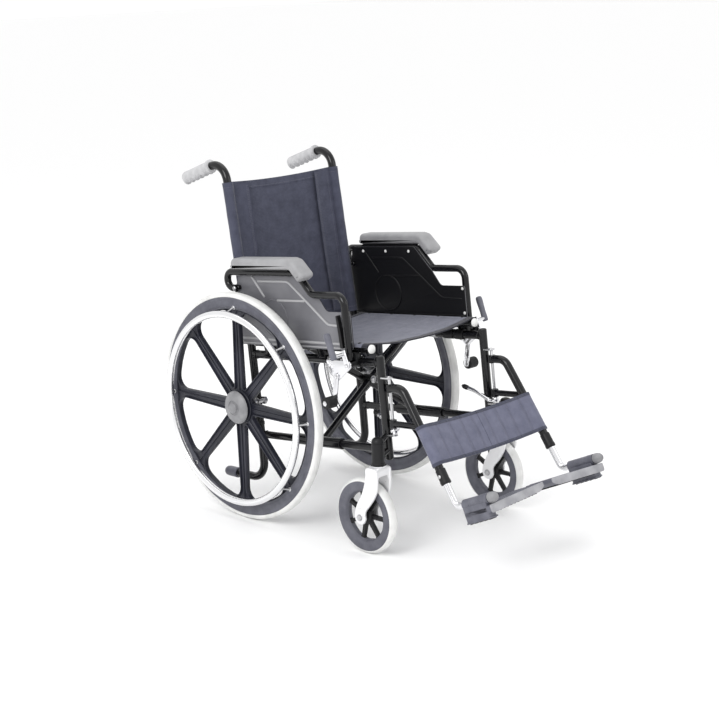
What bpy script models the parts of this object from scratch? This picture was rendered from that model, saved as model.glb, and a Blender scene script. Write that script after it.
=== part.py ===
"""Manual folding wheelchair: steel tube side frames on a cross brace, spoked rear wheels, swivelling
casters, flip-back armrests, swing-away footrests and push-to-lock brakes.

Metres, +Z up. The chair faces -Y and its left side is +X. The origin is on the floor, under the middle
of the chair. The rear axle is the design's own datum: the tube frame is drawn about it and then leans
back by TILT, while the casters' stems stay upright.
"""
import math

import bmesh
import bpy
from mathutils import Matrix, Vector

# ---------------------------------------------------------------- driving dimensions
TILT = math.radians(5.5)      # the frame and the seat lean back
AXLE_Y = 0.264                # rear axle behind the origin
WHEEL_R = 0.305
GAP = 0.0004                  # clearance that touching pieces keep

TUBE_R = 0.011
FRAME_X = 0.191               # plane of the side frame's tubes, each side of the middle
POST_Y = 0.008                # rear post, about the axle
FRONT_Y = -0.470              # front upright
UPPER_Z = 0.128               # upper side tube
LOWER_Z = -0.090              # lower side tube
RAIL_Z = 0.161                # seat rail
RAIL_FRONT = -0.446
RAIL_REAR = -0.014
LOWER_R = 0.0100

CANE_BEND_Z = 0.150           # above this the rear post leans back
CANE_TOP = (0.033, 0.588)
GRIP_DROP = math.radians(14)
GRIP_R = 0.0165
GRIP_LENGTH = 0.118

ARM_X = 0.2225                # plane of the armrest's tube
ARM_R = 0.0095
ARM_Z = 0.3525
ARM_PIVOT = (0.004, 0.3095)
ARM_POST_Y = -0.397
PAD_X = (0.2115, 0.2595)
GUARD_X = (0.2085, 0.2126)

TYRE_X = 0.256
TYRE_HALF = 0.0125
RIM_R = (0.2630, 0.2925)
SPOKES = 8
HANDRIM_X = 0.2925
HANDRIM_R = 0.252
HANDRIM_TUBE = 0.0095
AXLE_R = 0.006

CASTER_X = 0.2405
CASTER_STEM_Y = AXLE_Y - 0.488
CASTER_TRAIL = 0.044
CASTER_R = 0.0965
CASTER_HALF = 0.0145
HOUSING_Z = (0.236, 0.305)

BRACE_Y = (-0.2095, -0.2310)  # the two crossing bars lie one behind the other
BRACE_R = 0.0095
SLEEVE_Y = (-0.305, -0.135)

PIN_Y = -0.4945               # footrest hanger's hinge pin, in front of the front upright
PIN_R = 0.0040
HANGER_TOP = 0.067
HANGER_LOW = -0.023
HANGER_ELBOW = (-0.5435, 0.063)
HANGER_SLOPE = math.radians(61.5)
HANGER_SPLAY = 0.009          # the foot end stands this much further out
HANGER_LENGTH = 0.310
HANGER_END = 0.243
EXTENSION_TOP = 0.130
EXTENSION_R = 0.0085
FOOT_RISE = math.radians(18.5) # the footplates' pivots point forwards and up
PIVOT_LENGTH = 0.130
PLATE_P = (0.029, 0.120)      # footplate along its pivot, from the bend
PLATE_REACH = 0.182           # inboard of the pivot
PLATE_OUT = 0.0135
PLATE_TOP = (-0.0155, -0.0080)  # its top, below the pivot: at the outer edge and at the inner end
STRAP_S = (0.097, 0.200)

BRAKE_LEVER_PIVOT = (-0.408, 0.128)
BRAKE_ARM_PIVOT = (-0.366, 0.098)
BRAKE_SHOE = (-0.353, 0.036)
BRAKE_SHOE_R = 0.015

SIDES = {"left": 1, "right": -1}
WHEEL_STEPS = 44
CASTER_STEPS = 28

# ---------------------------------------------------------------- frames of reference
DATUM = Matrix.Translation((0, AXLE_Y, WHEEL_R)) @ Matrix.Rotation(-TILT, 4, "X")


def fr(x, y, z):
    """A point given about the rear axle, in the leaning frame."""
    return DATUM @ Vector((x, y, z))


def hanger_point(side, s, out=0.0):
    """A point at distance s down a footrest hanger, and out from its front face."""
    y = HANGER_ELBOW[0] - s * math.cos(HANGER_SLOPE) - out * math.sin(HANGER_SLOPE)
    z = HANGER_ELBOW[1] - s * math.sin(HANGER_SLOPE) + out * math.cos(HANGER_SLOPE)
    return fr(side * (FRAME_X + HANGER_SPLAY * s / HANGER_LENGTH), y, z)


def foot_matrix(side):
    """Axes of a footplate: x across, y forwards along its pivot, z up off the plate."""
    base = hanger_point(side, HANGER_LENGTH)
    forwards = DATUM.to_3x3() @ Vector((0, -math.cos(FOOT_RISE), math.sin(FOOT_RISE)))
    up = DATUM.to_3x3() @ Vector((0, math.sin(FOOT_RISE), math.cos(FOOT_RISE)))
    across = forwards.cross(up)
    turn = Matrix((across, forwards, up)).transposed()
    return Matrix.Translation(base) @ turn.to_4x4()


# ---------------------------------------------------------------- scene, collections, materials
for old in list(bpy.data.objects):
    bpy.data.objects.remove(old, do_unlink=True)

chair = bpy.data.collections.new("manual_wheelchair")
bpy.context.scene.collection.children.link(chair)

MATERIALS = {
    "frame": ((0.012, 0.012, 0.014), 0.25, 0.0),
    "chrome": ((0.80, 0.81, 0.82), 0.12, 1.0),
    "steel": ((0.62, 0.63, 0.65), 0.35, 1.0),
    "mag": ((0.020, 0.021, 0.028), 0.45, 0.0),
    "tyre": ((0.80, 0.80, 0.78), 0.60, 0.0),
    "grey_plastic": ((0.42, 0.42, 0.44), 0.45, 0.0),
    "dark_plastic": ((0.10, 0.10, 0.11), 0.50, 0.0),
    "black_rubber": ((0.02, 0.02, 0.02), 0.70, 0.0),
    "fork": ((0.78, 0.79, 0.80), 0.30, 0.3),
    "nylon": ((0.075, 0.080, 0.130), 0.85, 0.0),
    "pad": ((0.36, 0.36, 0.38), 0.60, 0.0),
}


def material(name):
    """The named material, made on its first use."""
    found = bpy.data.materials.get(name)
    if found:
        return found
    made = bpy.data.materials.new(name)
    made.use_nodes = True
    shader = made.node_tree.nodes["Principled BSDF"]
    colour, roughness, metallic = MATERIALS[name]
    shader.inputs["Base Color"].default_value = (*colour, 1.0)
    shader.inputs["Roughness"].default_value = roughness
    shader.inputs["Metallic"].default_value = metallic
    return made


# ---------------------------------------------------------------- building blocks
def as_mesh(obj):
    """The object's evaluated shape as a plain welded mesh object in the same place."""
    bpy.context.view_layer.update()
    graph = bpy.context.evaluated_depsgraph_get()
    mesh = bpy.data.meshes.new_from_object(obj.evaluated_get(graph))
    shape = bmesh.new()
    shape.from_mesh(mesh)
    bmesh.ops.remove_doubles(shape, verts=shape.verts, dist=1e-6)
    bmesh.ops.recalc_face_normals(shape, faces=shape.faces)
    shape.to_mesh(mesh)
    shape.free()
    made = bpy.data.objects.new(obj.name + "_mesh", mesh)
    chair.objects.link(made)
    made.matrix_world = obj.matrix_world.copy()
    bpy.data.objects.remove(obj, do_unlink=True)
    return made


def tube(points, radius, fine=3):
    """A round tube with flat closed ends along world points."""
    curve = bpy.data.curves.new("tube", "CURVE")
    curve.dimensions = "3D"
    curve.bevel_depth = radius
    curve.bevel_resolution = fine
    curve.use_fill_caps = True
    line = curve.splines.new("POLY")
    line.points.add(len(points) - 1)
    for knot, place in zip(line.points, points):
        knot.co = (*place, 1.0)
    obj = bpy.data.objects.new("tube", curve)
    chair.objects.link(obj)
    return as_mesh(obj)


def rounded(corners, radii, steps=4):
    """Points along a path of corners, with an arc of the given radius at each inner corner."""
    path = [Vector(corners[0])]
    for before, corner, after, radius in zip(corners, corners[1:], corners[2:], radii):
        before, corner, after = Vector(before), Vector(corner), Vector(after)
        if radius <= 0:
            path.append(corner)
            continue
        back = (before - corner).normalized()
        ahead = (after - corner).normalized()
        half = back.angle(ahead) / 2
        reach = radius / math.tan(half)
        start, end = corner + back * reach, corner + ahead * reach
        centre = corner + (back + ahead).normalized() * (radius / math.sin(half))
        first, last = start - centre, end - centre
        sweep = first.angle(last)
        for k in range(steps + 1):
            share = k / steps
            swing = (first * math.sin((1 - share) * sweep) + last * math.sin(share * sweep)) / math.sin(sweep)
            path.append(centre + swing)
    path.append(Vector(corners[-1]))
    return path


def rod(start, end, radius, sides=16):
    """A straight cylinder between two world points."""
    start, end = Vector(start), Vector(end)
    shape = bmesh.new()
    bmesh.ops.create_cone(shape, cap_ends=True, segments=sides, radius1=radius, radius2=radius,
                          depth=(end - start).length)
    mesh = bpy.data.meshes.new("rod")
    shape.to_mesh(mesh)
    shape.free()
    obj = bpy.data.objects.new("rod", mesh)
    chair.objects.link(obj)
    turn = (end - start).to_track_quat("Z", "Y").to_matrix().to_4x4()
    obj.matrix_world = Matrix.Translation((start + end) / 2) @ turn
    return obj


def block(low, high, matrix):
    """A box between two corners, given in the axes of the matrix."""
    low, high = Vector(low), Vector(high)
    shape = bmesh.new()
    bmesh.ops.create_cube(shape, size=1.0)
    bmesh.ops.scale(shape, vec=[abs(v) for v in high - low], verts=shape.verts)
    bmesh.ops.translate(shape, vec=(low + high) / 2, verts=shape.verts)
    mesh = bpy.data.meshes.new("block")
    shape.to_mesh(mesh)
    shape.free()
    obj = bpy.data.objects.new("block", mesh)
    chair.objects.link(obj)
    obj.matrix_world = matrix
    return obj


def plate(outlines, low, high, matrix):
    """A flat piece: closed outlines, the first the edge and the rest holes, between two heights."""
    curve = bpy.data.curves.new("plate", "CURVE")
    curve.dimensions = "2D"
    curve.fill_mode = "BOTH"
    curve.extrude = abs(high - low) / 2
    for outline in outlines:
        line = curve.splines.new("POLY")
        line.points.add(len(outline) - 1)
        for knot, place in zip(line.points, outline):
            knot.co = (place[0], place[1], 0.0, 1.0)
        line.use_cyclic_u = True
    obj = bpy.data.objects.new("plate", curve)
    chair.objects.link(obj)
    obj.matrix_world = matrix @ Matrix.Translation((0, 0, (low + high) / 2))
    return as_mesh(obj)


def turned(profile, centre, axis, steps):
    """A closed profile of (radius, height) points, turned about an axis through the centre."""
    mesh = bpy.data.meshes.new("turned")
    shape = bmesh.new()
    corners = [shape.verts.new((radius, 0, height)) for radius, height in profile]
    for first, second in zip(corners, corners[1:]):
        shape.edges.new((first, second))
    shape.to_mesh(mesh)
    shape.free()
    obj = bpy.data.objects.new("turned", mesh)
    chair.objects.link(obj)
    turn = obj.modifiers.new("turn", "SCREW")
    turn.steps = steps
    turn.render_steps = steps
    turn.use_merge_vertices = True
    turn.merge_threshold = 0.0001
    obj.matrix_world = Matrix.Translation(centre) @ Vector(axis).to_track_quat("Z", "Y").to_matrix().to_4x4()
    return as_mesh(obj)


def combine(operation, base, others):
    """Join or cut mesh objects with exact Booleans, and remove the operands."""
    for other in others:
        step = base.modifiers.new("step", "BOOLEAN")
        step.operation = operation
        step.solver = "EXACT"
        step.object = other
    made = as_mesh(base)
    for other in others:
        bpy.data.objects.remove(other, do_unlink=True)
    return made


def join(base, *others):
    return combine("UNION", base, others)


def cut(base, *others):
    return combine("DIFFERENCE", base, others)


def finish(obj, name, finish_name):
    """Name the piece, give it its material and shade it smooth."""
    obj.name = name
    obj.data.name = name
    obj.data.materials.clear()
    obj.data.materials.append(material(finish_name))
    obj.data.shade_smooth()
    obj.data.set_sharp_from_angle(angle=math.radians(35))
    return obj


def arc(centre, radius, start, end, steps):
    """Points on a circle, from start to end in degrees."""
    turn = [math.radians(start + (end - start) * k / steps) for k in range(steps + 1)]
    return [(centre[0] + radius * math.cos(a), centre[1] + radius * math.sin(a)) for a in turn]


def ring_profile(inner, outer, low, high):
    """Closed rectangular section, down its outer side first."""
    return [(inner, high), (outer, high), (outer, low), (inner, low), (inner, high)]


def side_view(x):
    """Axes for a flat piece seen from the side: x forwards (-Y), y up, in the leaning frame."""
    axes = Matrix(((0, 0, -1), (-1, 0, 0), (0, 1, 0))).to_4x4()
    return DATUM @ Matrix.Translation((x, 0, 0)) @ axes


def upright_side_view(x):
    """The same for pieces that stand upright, about the floor."""
    axes = Matrix(((0, 0, -1), (-1, 0, 0), (0, 1, 0))).to_4x4()
    return Matrix.Translation((x, 0, 0)) @ axes


def flat_side_piece(outlines, x_low, x_high, side, view=side_view):
    """A sheet in the side view between two distances from the chair's middle plane."""
    low, high = sorted((side * x_low, side * x_high))
    return plate(outlines, -(high - low) / 2, (high - low) / 2, view((low + high) / 2))


def forwards(outline):
    """Outline points (y, z) turned to the side view's axes."""
    return [(-y, z) for y, z in outline]


# ---------------------------------------------------------------- side frame
def saddle(side, y):
    """Open cradle on the upper side tube, which the seat rail drops into."""
    body = block((side * FRAME_X - 0.0145, y - 0.014, UPPER_Z + 0.004),
                 (side * FRAME_X + 0.0145, y + 0.014, RAIL_Z + 0.003), DATUM)
    groove = rod(fr(side * FRAME_X, y - 0.02, RAIL_Z), fr(side * FRAME_X, y + 0.02, RAIL_Z), TUBE_R + 0.0006)
    mouth = block((side * FRAME_X - 0.0116, y - 0.02, RAIL_Z), (side * FRAME_X + 0.0116, y + 0.02, RAIL_Z + 0.02),
                  DATUM)
    return cut(body, groove, mouth)


def side_frame(name, side):
    x = side * FRAME_X
    hoop_corners = [fr(x, POST_Y - TUBE_R - GAP, UPPER_Z), fr(x, FRONT_Y, UPPER_Z), fr(x, FRONT_Y, -0.113)]
    hoop = tube(rounded(hoop_corners, [0.020]), TUBE_R)
    lower = rod(fr(x, POST_Y - TUBE_R - GAP, LOWER_Z), fr(x, FRONT_Y, LOWER_Z), LOWER_R)
    stem_top = Vector((side * CASTER_X, CASTER_STEM_Y, HOUSING_Z[1]))
    stem_low = Vector((side * CASTER_X, CASTER_STEM_Y, HOUSING_Z[0]))
    housing = rod(stem_low, stem_top, 0.016, 20)
    webs = [rod(fr(x, FRONT_Y, z), stem_low + (stem_top - stem_low) * share, 0.008, 12)
            for z, share in ((-0.052, 0.72), (-0.090, 0.22))]
    pin = rod(fr(x, PIN_Y, -0.054), fr(x, PIN_Y, 0.094), PIN_R, 12)
    lugs = [block((x - 0.009, PIN_Y - 0.008, z), (x + 0.009, FRONT_Y, z + 0.004), DATUM) for z in (-0.054, 0.090)]
    socket_x = (0.2000, 0.2375)
    low, high = sorted(side * v for v in socket_x)
    socket = block((low, ARM_POST_Y - 0.012, UPPER_Z - 0.006), (high, ARM_POST_Y + 0.022, 0.154), DATUM)
    frame = join(hoop, lower, housing, *webs, pin, *lugs, socket, saddle(side, -0.272), saddle(side, -0.070))
    post_slot = block((side * ARM_X - 0.0101, ARM_POST_Y - 0.030, 0.1335),
                      (side * ARM_X + 0.0101, ARM_POST_Y + 0.0101, 0.170), DATUM)
    stem_bore = rod(stem_low - Vector((0, 0, 0.01)), stem_low + Vector((0, 0, 0.055)), 0.0085)
    return finish(cut(frame, post_slot, stem_bore), "side_frame_" + name, "frame")


def back_cane(name, side):
    """Tipping lever, rear post and back cane in one bent tube, with its push handle's bend on top."""
    x = side * FRAME_X
    lean = math.atan2(CANE_TOP[0] - POST_Y, CANE_TOP[1] - CANE_BEND_Z)
    bend = (CANE_TOP[0] + 0.054 * math.tan(lean), CANE_TOP[1] + 0.054)
    handle = (bend[0] + 0.110 * math.cos(GRIP_DROP), bend[1] - 0.110 * math.sin(GRIP_DROP))
    corners = [fr(x, 0.150, -0.2065), fr(x, 0.011, -0.214), fr(x, POST_Y, -0.100), fr(x, POST_Y, CANE_BEND_Z),
               fr(x, *bend), fr(x, *handle)]
    cane = tube(rounded(corners, [0.048, 0.0, 0.0, 0.045]), TUBE_R)
    axle_hole = rod(fr(x - 0.03, 0, 0), fr(x + 0.03, 0, 0), AXLE_R + GAP)
    finish(cut(cane, axle_hole), "back_cane_" + name, "frame")
    direction = (fr(x, *handle) - fr(x, *bend)).normalized()
    start = fr(x, *bend) + direction * 0.056
    bore = 0.056
    ribs = [(GRIP_R - 0.0022 * (k % 2), 0.016 + 0.0105 * k) for k in range(7)]
    profile = [(0.0, GRIP_LENGTH), (GRIP_R - 0.004, GRIP_LENGTH), (GRIP_R, GRIP_LENGTH - 0.005), (GRIP_R, 0.090)]
    profile += list(reversed(ribs)) + [(GRIP_R, 0.0), (TUBE_R + GAP, 0.0), (TUBE_R + GAP, bore), (0.0, bore)]
    grip = turned(profile, start, direction, 16)
    finish(grip, "push_grip_" + name, "grey_plastic")
    tip_axis = (fr(x, 0.150, -0.2065) - fr(x, 0.100, -0.2092)).normalized()
    tip_start = fr(x, 0.150, -0.2065) + tip_axis * GAP
    tip = turned([(0.0, 0.022), (0.009, 0.020), (0.0125, 0.014), (0.0135, 0.0), (0.0, 0.0)], tip_start, tip_axis, 16)
    finish(tip, "tipping_tip_" + name, "black_rubber")


# ---------------------------------------------------------------- rear wheel
def windows(inner, outer, count, half_bar, steps=6):
    """Openings between equal bars of a spoked wheel, with round outer corners."""
    holes = []
    for k in range(count):
        middle = (k + 0.5) * 360 / count
        inner_half = 180 / count - math.degrees(half_bar / inner)
        outer_half = 180 / count - math.degrees(half_bar / outer)
        outer_line = arc((0, 0), outer, middle - outer_half * 0.80, middle + outer_half * 0.80, steps)
        inner_line = arc((0, 0), inner, middle + inner_half, middle - inner_half, 2)
        shoulder = 0.93 * outer
        late = math.radians(middle + outer_half)
        early = math.radians(middle - outer_half)
        outer_line.append((shoulder * math.cos(late), shoulder * math.sin(late)))
        outer_line.insert(0, (shoulder * math.cos(early), shoulder * math.sin(early)))
        holes.append(outer_line + inner_line)
    return holes


def rear_wheel(name, side):
    x = side * TYRE_X
    centre = Vector((x, AXLE_Y, WHEEL_R))
    out = Vector((side, 0, 0))
    rim = turned(ring_profile(*RIM_R, -0.0115, 0.0115), centre, out, WHEEL_STEPS)
    edge = arc((0, 0), RIM_R[0] + 0.004, 0, 360, WHEEL_STEPS)[:-1]
    disc = [edge] + windows(0.044, RIM_R[0] - 0.003, SPOKES, 0.0135, 4)
    spider = flat_side_piece(disc, TYRE_X - 0.0065, TYRE_X + 0.0065, side,
                             lambda at: Matrix.Translation((0, AXLE_Y, WHEEL_R)) @ upright_side_view(at))
    hub = rod(centre - out * 0.024, centre + out * 0.0162, 0.034, 24)
    wheel = join(spider, rim, hub)
    bore = rod(centre - out * 0.05, centre + out * 0.05, AXLE_R + GAP)
    finish(cut(wheel, bore), "rear_wheel_" + name, "mag")

    inner, outer = RIM_R[1] + GAP, WHEEL_R
    section = [(inner, TYRE_HALF), (outer - 0.0055, TYRE_HALF), (outer - 0.0012, 0.0075), (outer, 0.0),
               (outer - 0.0012, -0.0075), (outer - 0.0055, -TYRE_HALF), (inner, -TYRE_HALF), (inner, TYRE_HALF)]
    finish(turned(section, centre, out, WHEEL_STEPS), "rear_tyre_" + name, "tyre")

    loop_centre = Vector((side * HANDRIM_X, AXLE_Y, WHEEL_R))
    loop_section = [(HANDRIM_R + HANDRIM_TUBE * math.cos(a), HANDRIM_TUBE * math.sin(a))
                    for a in [math.radians(90 - 60 * k) for k in range(7)]]
    handrim = turned(loop_section, loop_centre, out, WHEEL_STEPS)
    stays = []
    for k in range(6):
        turn = math.radians(60 * k + 30)
        spoke = Vector((0, math.cos(turn), math.sin(turn)))
        stays.append(rod(centre + out * 0.0142 + spoke * 0.2690, loop_centre + spoke * 0.2540, 0.004, 8))
    finish(join(handrim, *stays), "handrim_" + name, "chrome")

    cap = [(0.0, 0.0165), (0.0150, 0.0160), (0.0180, 0.0120), (0.0330, 0.0095), (0.0420, 0.0050), (0.0445, 0.0),
           (0.0, 0.0)]
    finish(turned(cap, centre + out * (0.0162 + GAP), out, 32), "hub_cap_" + name, "grey_plastic")

    post_out = FRAME_X + TUBE_R + GAP
    shaft = rod((side * 0.174, AXLE_Y, WHEEL_R), (side * (TYRE_X + 0.014), AXLE_Y, WHEEL_R), AXLE_R)
    collar = rod((side * post_out, AXLE_Y, WHEEL_R), (side * (TYRE_X - 0.0245), AXLE_Y, WHEEL_R), 0.011)
    nut = rod((side * 0.168, AXLE_Y, WHEEL_R), (side * (FRAME_X - TUBE_R - GAP), AXLE_Y, WHEEL_R), 0.011, 6)
    finish(join(shaft, collar, nut), "rear_axle_" + name, "steel")


# ---------------------------------------------------------------- caster
def caster(name, side):
    x = side * CASTER_X
    out = Vector((side, 0, 0))
    stem = Vector((x, CASTER_STEM_Y, 0))
    centre = Vector((x, CASTER_STEM_Y + CASTER_TRAIL, CASTER_R))
    crown_low, crown_high = 0.208, HOUSING_Z[0] - 0.003
    stem_rod = rod(stem + Vector((0, 0, crown_low + 0.005)), stem + Vector((0, 0, HOUSING_Z[0] + 0.050)), 0.0078)
    flange = rod(stem + Vector((0, 0, crown_high - 0.006)), stem + Vector((0, 0, crown_high)), 0.020, 20)
    crown = block((x - 0.0265, CASTER_STEM_Y - 0.017, crown_low), (x + 0.0265, CASTER_STEM_Y + 0.019, crown_high - 0.003),
                  Matrix.Identity(4))
    leg_line = [(CASTER_STEM_Y - 0.017, crown_high - 0.003), (CASTER_STEM_Y - 0.017, crown_low - 0.010),
                (CASTER_STEM_Y - 0.004, 0.150), (centre.y - 0.026, 0.116)]
    leg_line += arc((centre.y, centre.z), 0.017, 170, 360, 8)
    leg_line += [(centre.y + 0.016, 0.125), (CASTER_STEM_Y + 0.036, 0.165), (CASTER_STEM_Y + 0.026, crown_low - 0.012),
                 (CASTER_STEM_Y + 0.019, crown_high - 0.003)]
    legs = [flat_side_piece([forwards(leg_line)], CASTER_X + a, CASTER_X + a + 0.0065, side, upright_side_view)
            for a in (0.0200, -0.0265)]
    fork = join(crown, stem_rod, flange, *legs)
    hole = rod(centre - out * 0.05, centre + out * 0.05, 0.0045)
    finish(cut(fork, hole), "caster_fork_" + name, "fork")

    rim_r = (0.0640, 0.0780)
    rim = turned(ring_profile(*rim_r, -0.0115, 0.0115), centre, out, CASTER_STEPS)
    edge = arc((0, 0), rim_r[0] + 0.003, 0, 360, CASTER_STEPS)[:-1]
    disc = [edge] + windows(0.019, rim_r[0] - 0.001, 7, 0.0048, 3)
    spider = flat_side_piece(disc, CASTER_X - 0.0055, CASTER_X + 0.0055, side,
                             lambda at: Matrix.Translation((0, centre.y, centre.z)) @ upright_side_view(at))
    hub = rod(centre - out * 0.0165, centre + out * 0.0165, 0.015, 16)
    wheel = join(spider, rim, hub)
    finish(cut(wheel, rod(centre - out * 0.05, centre + out * 0.05, 0.0045)), "caster_wheel_" + name, "mag")

    inner, outer = rim_r[1] + GAP, CASTER_R
    section = [(inner, CASTER_HALF), (outer - 0.0060, CASTER_HALF), (outer - 0.0012, 0.0095), (outer, 0.0),
               (outer - 0.0012, -0.0095), (outer - 0.0060, -CASTER_HALF), (inner, -CASTER_HALF), (inner, CASTER_HALF)]
    finish(turned(section, centre, out, CASTER_STEPS), "caster_tyre_" + name, "tyre")

    bolt = rod(centre - out * 0.0300, centre + out * 0.0300, 0.0040, 12)
    heads = [rod(centre + out * a, centre + out * (a + 0.0045), 0.0075, 6) for a in (0.0270, -0.0315)]
    finish(join(bolt, *heads), "caster_axle_" + name, "steel")


# ---------------------------------------------------------------- cross brace
def brace_bar(label, low_side, y):
    """One bar of the X: a pivot sleeve on a lower tube, the bar, and the far side's seat rail."""
    low = fr(low_side * FRAME_X, y, LOWER_Z)
    high = fr(-low_side * FRAME_X, y, RAIL_Z)
    bar = rod(low, high, BRACE_R)
    sleeve = rod(fr(low_side * FRAME_X, SLEEVE_Y[0], LOWER_Z), fr(low_side * FRAME_X, SLEEVE_Y[1], LOWER_Z), 0.0145)
    rail = rod(fr(-low_side * FRAME_X, RAIL_FRONT, RAIL_Z), fr(-low_side * FRAME_X, RAIL_REAR, RAIL_Z), TUBE_R)
    joined = join(bar, sleeve, rail)
    bore = rod(fr(low_side * FRAME_X, SLEEVE_Y[0] - 0.02, LOWER_Z), fr(low_side * FRAME_X, SLEEVE_Y[1] + 0.02, LOWER_Z),
               LOWER_R + 0.0007)
    middle_z = (LOWER_Z + RAIL_Z) / 2
    hole = rod(fr(0, y - 0.03, middle_z), fr(0, y + 0.03, middle_z), 0.0044, 12)
    finish(cut(joined, bore, hole), "brace_bar_" + label, "frame")


def centre_bolt():
    middle_z = (LOWER_Z + RAIL_Z) / 2
    front, back = BRACE_Y[1] - 0.0125, BRACE_Y[0] + 0.0125
    shank = rod(fr(0, front, middle_z), fr(0, back, middle_z), 0.0040, 12)
    heads = [rod(fr(0, front - 0.004, middle_z), fr(0, front + 0.0005, middle_z), 0.0080, 12),
             rod(fr(0, back - 0.0005, middle_z), fr(0, back + 0.004, middle_z), 0.0080, 6)]
    finish(join(shank, *heads), "brace_centre_bolt", "steel")


# ---------------------------------------------------------------- armrest
def armrest(name, side):
    x = side * ARM_X
    slope_top, slope_low = (-0.236, ARM_Z), (-0.284, 0.298)
    loop_y, loop_r = 0.016, (ARM_Z - ARM_PIVOT[1]) / 2
    corners = [fr(x, *ARM_PIVOT), fr(x, loop_y + loop_r, ARM_PIVOT[1]), fr(x, loop_y + loop_r, ARM_Z),
               fr(x, *slope_top), fr(x, *slope_low), fr(x, ARM_POST_Y, slope_low[1]), fr(x, ARM_POST_Y, 0.1360)]
    line = rounded(corners, [loop_r * 0.98, loop_r * 0.98, 0.020, 0.020, 0.024])
    loop = tube(line, ARM_R)
    pivot = rod(fr(side * (FRAME_X + TUBE_R + 0.0008), *ARM_PIVOT), fr(x, *ARM_PIVOT), 0.0060, 12)
    finish(join(loop, pivot), "armrest_frame_" + name, "frame")

    pad_line = [(-0.0160, 0.3635), (-0.2420, 0.3635), (-0.2700, 0.3315), (-0.2960, 0.3470), (-0.2560, 0.3880),
                (-0.2400, 0.3930), (-0.0220, 0.3930), (-0.0160, 0.3870)]
    finish(flat_side_piece([forwards(pad_line)], *PAD_X, side), "armrest_pad_" + name, "pad")

    guard_line = [(0.026, 0.158), (0.026, 0.300), (0.010, 0.330), (0.004, 0.3570), (-0.2320, 0.3570), (-0.2820, 0.3020),
                  (-0.3190, 0.2540), (-0.4030, 0.2540), (-0.4030, 0.158)]
    hole = arc(ARM_PIVOT, 0.0066, 0, 330, 11)
    finish(flat_side_piece([forwards(guard_line), forwards(hole)], *GUARD_X, side), "skirt_guard_" + name,
           "dark_plastic")

    latch_line = [(-0.3830, 0.166), (-0.3720, 0.166), (-0.3700, 0.200), (-0.3660, 0.247), (-0.3720, 0.249),
                  (-0.3790, 0.205)]
    finish(flat_side_piece([forwards(latch_line)], ARM_X - 0.006, ARM_X + 0.006, side),
           "armrest_latch_" + name, "dark_plastic")


# ---------------------------------------------------------------- brake
def brake(name, side):
    base = block((side * (FRAME_X + TUBE_R + GAP), -0.372, 0.118), (side * 0.2410, -0.334, 0.138), DATUM)
    side_line = arc(BRAKE_LEVER_PIVOT, 0.011, 90, 230, 5) + arc(BRAKE_ARM_PIVOT, 0.011, 230, 330, 4)
    side_line += [(-0.336, 0.110), (-0.334, 0.139)]
    cheek = flat_side_piece([forwards(side_line)], 0.2390, 0.2430, side)
    studs = [rod(fr(side * 0.2400, *pivot), fr(side * 0.2485, *pivot), 0.0030, 10)
             for pivot in (BRAKE_LEVER_PIVOT, BRAKE_ARM_PIVOT)]
    finish(join(base, cheek, *studs), "brake_bracket_" + name, "steel")

    grip_low, grip_high = (-0.4010, 0.156), (-0.3840, 0.214)
    lever_line = arc(BRAKE_LEVER_PIVOT, 0.0085, 160, 340, 8) + [(-0.3935, 0.164), (-0.4050, 0.167)]
    lever = flat_side_piece([forwards(lever_line)], 0.2434, 0.2474, side)
    shank = rod(fr(side * 0.2454, *grip_low), fr(side * 0.2810, *grip_low), 0.0050, 12)
    grip = rod(fr(side * 0.2810, grip_low[0] - 0.002, grip_low[1] - 0.008), fr(side * 0.2810, *grip_high), 0.0088, 14)
    handle = cut(join(lever, shank, grip), rod(fr(side * 0.22, *BRAKE_LEVER_PIVOT), fr(side * 0.26, *BRAKE_LEVER_PIVOT),
                                               0.0035, 12))
    finish(handle, "brake_lever_" + name, "chrome")

    arm_line = arc(BRAKE_ARM_PIVOT, 0.0085, 10, 190, 8) + arc(BRAKE_SHOE, 0.0085, 190, 370, 8)
    arm = flat_side_piece([forwards(arm_line)], 0.2434, 0.2474, side)
    stub = rod(fr(side * 0.2454, *BRAKE_SHOE), fr(side * 0.2800, *BRAKE_SHOE), 0.0050, 12)
    arm = cut(join(arm, stub), rod(fr(side * 0.22, *BRAKE_ARM_PIVOT), fr(side * 0.26, *BRAKE_ARM_PIVOT), 0.0035, 12))
    finish(arm, "brake_arm_" + name, "chrome")
    shoe = turned(ring_profile(0.0054, BRAKE_SHOE_R, 0.0, 0.0310), fr(side * 0.2480, *BRAKE_SHOE), (side, 0, 0), 20)
    finish(shoe, "brake_shoe_" + name, "grey_plastic")


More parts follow.
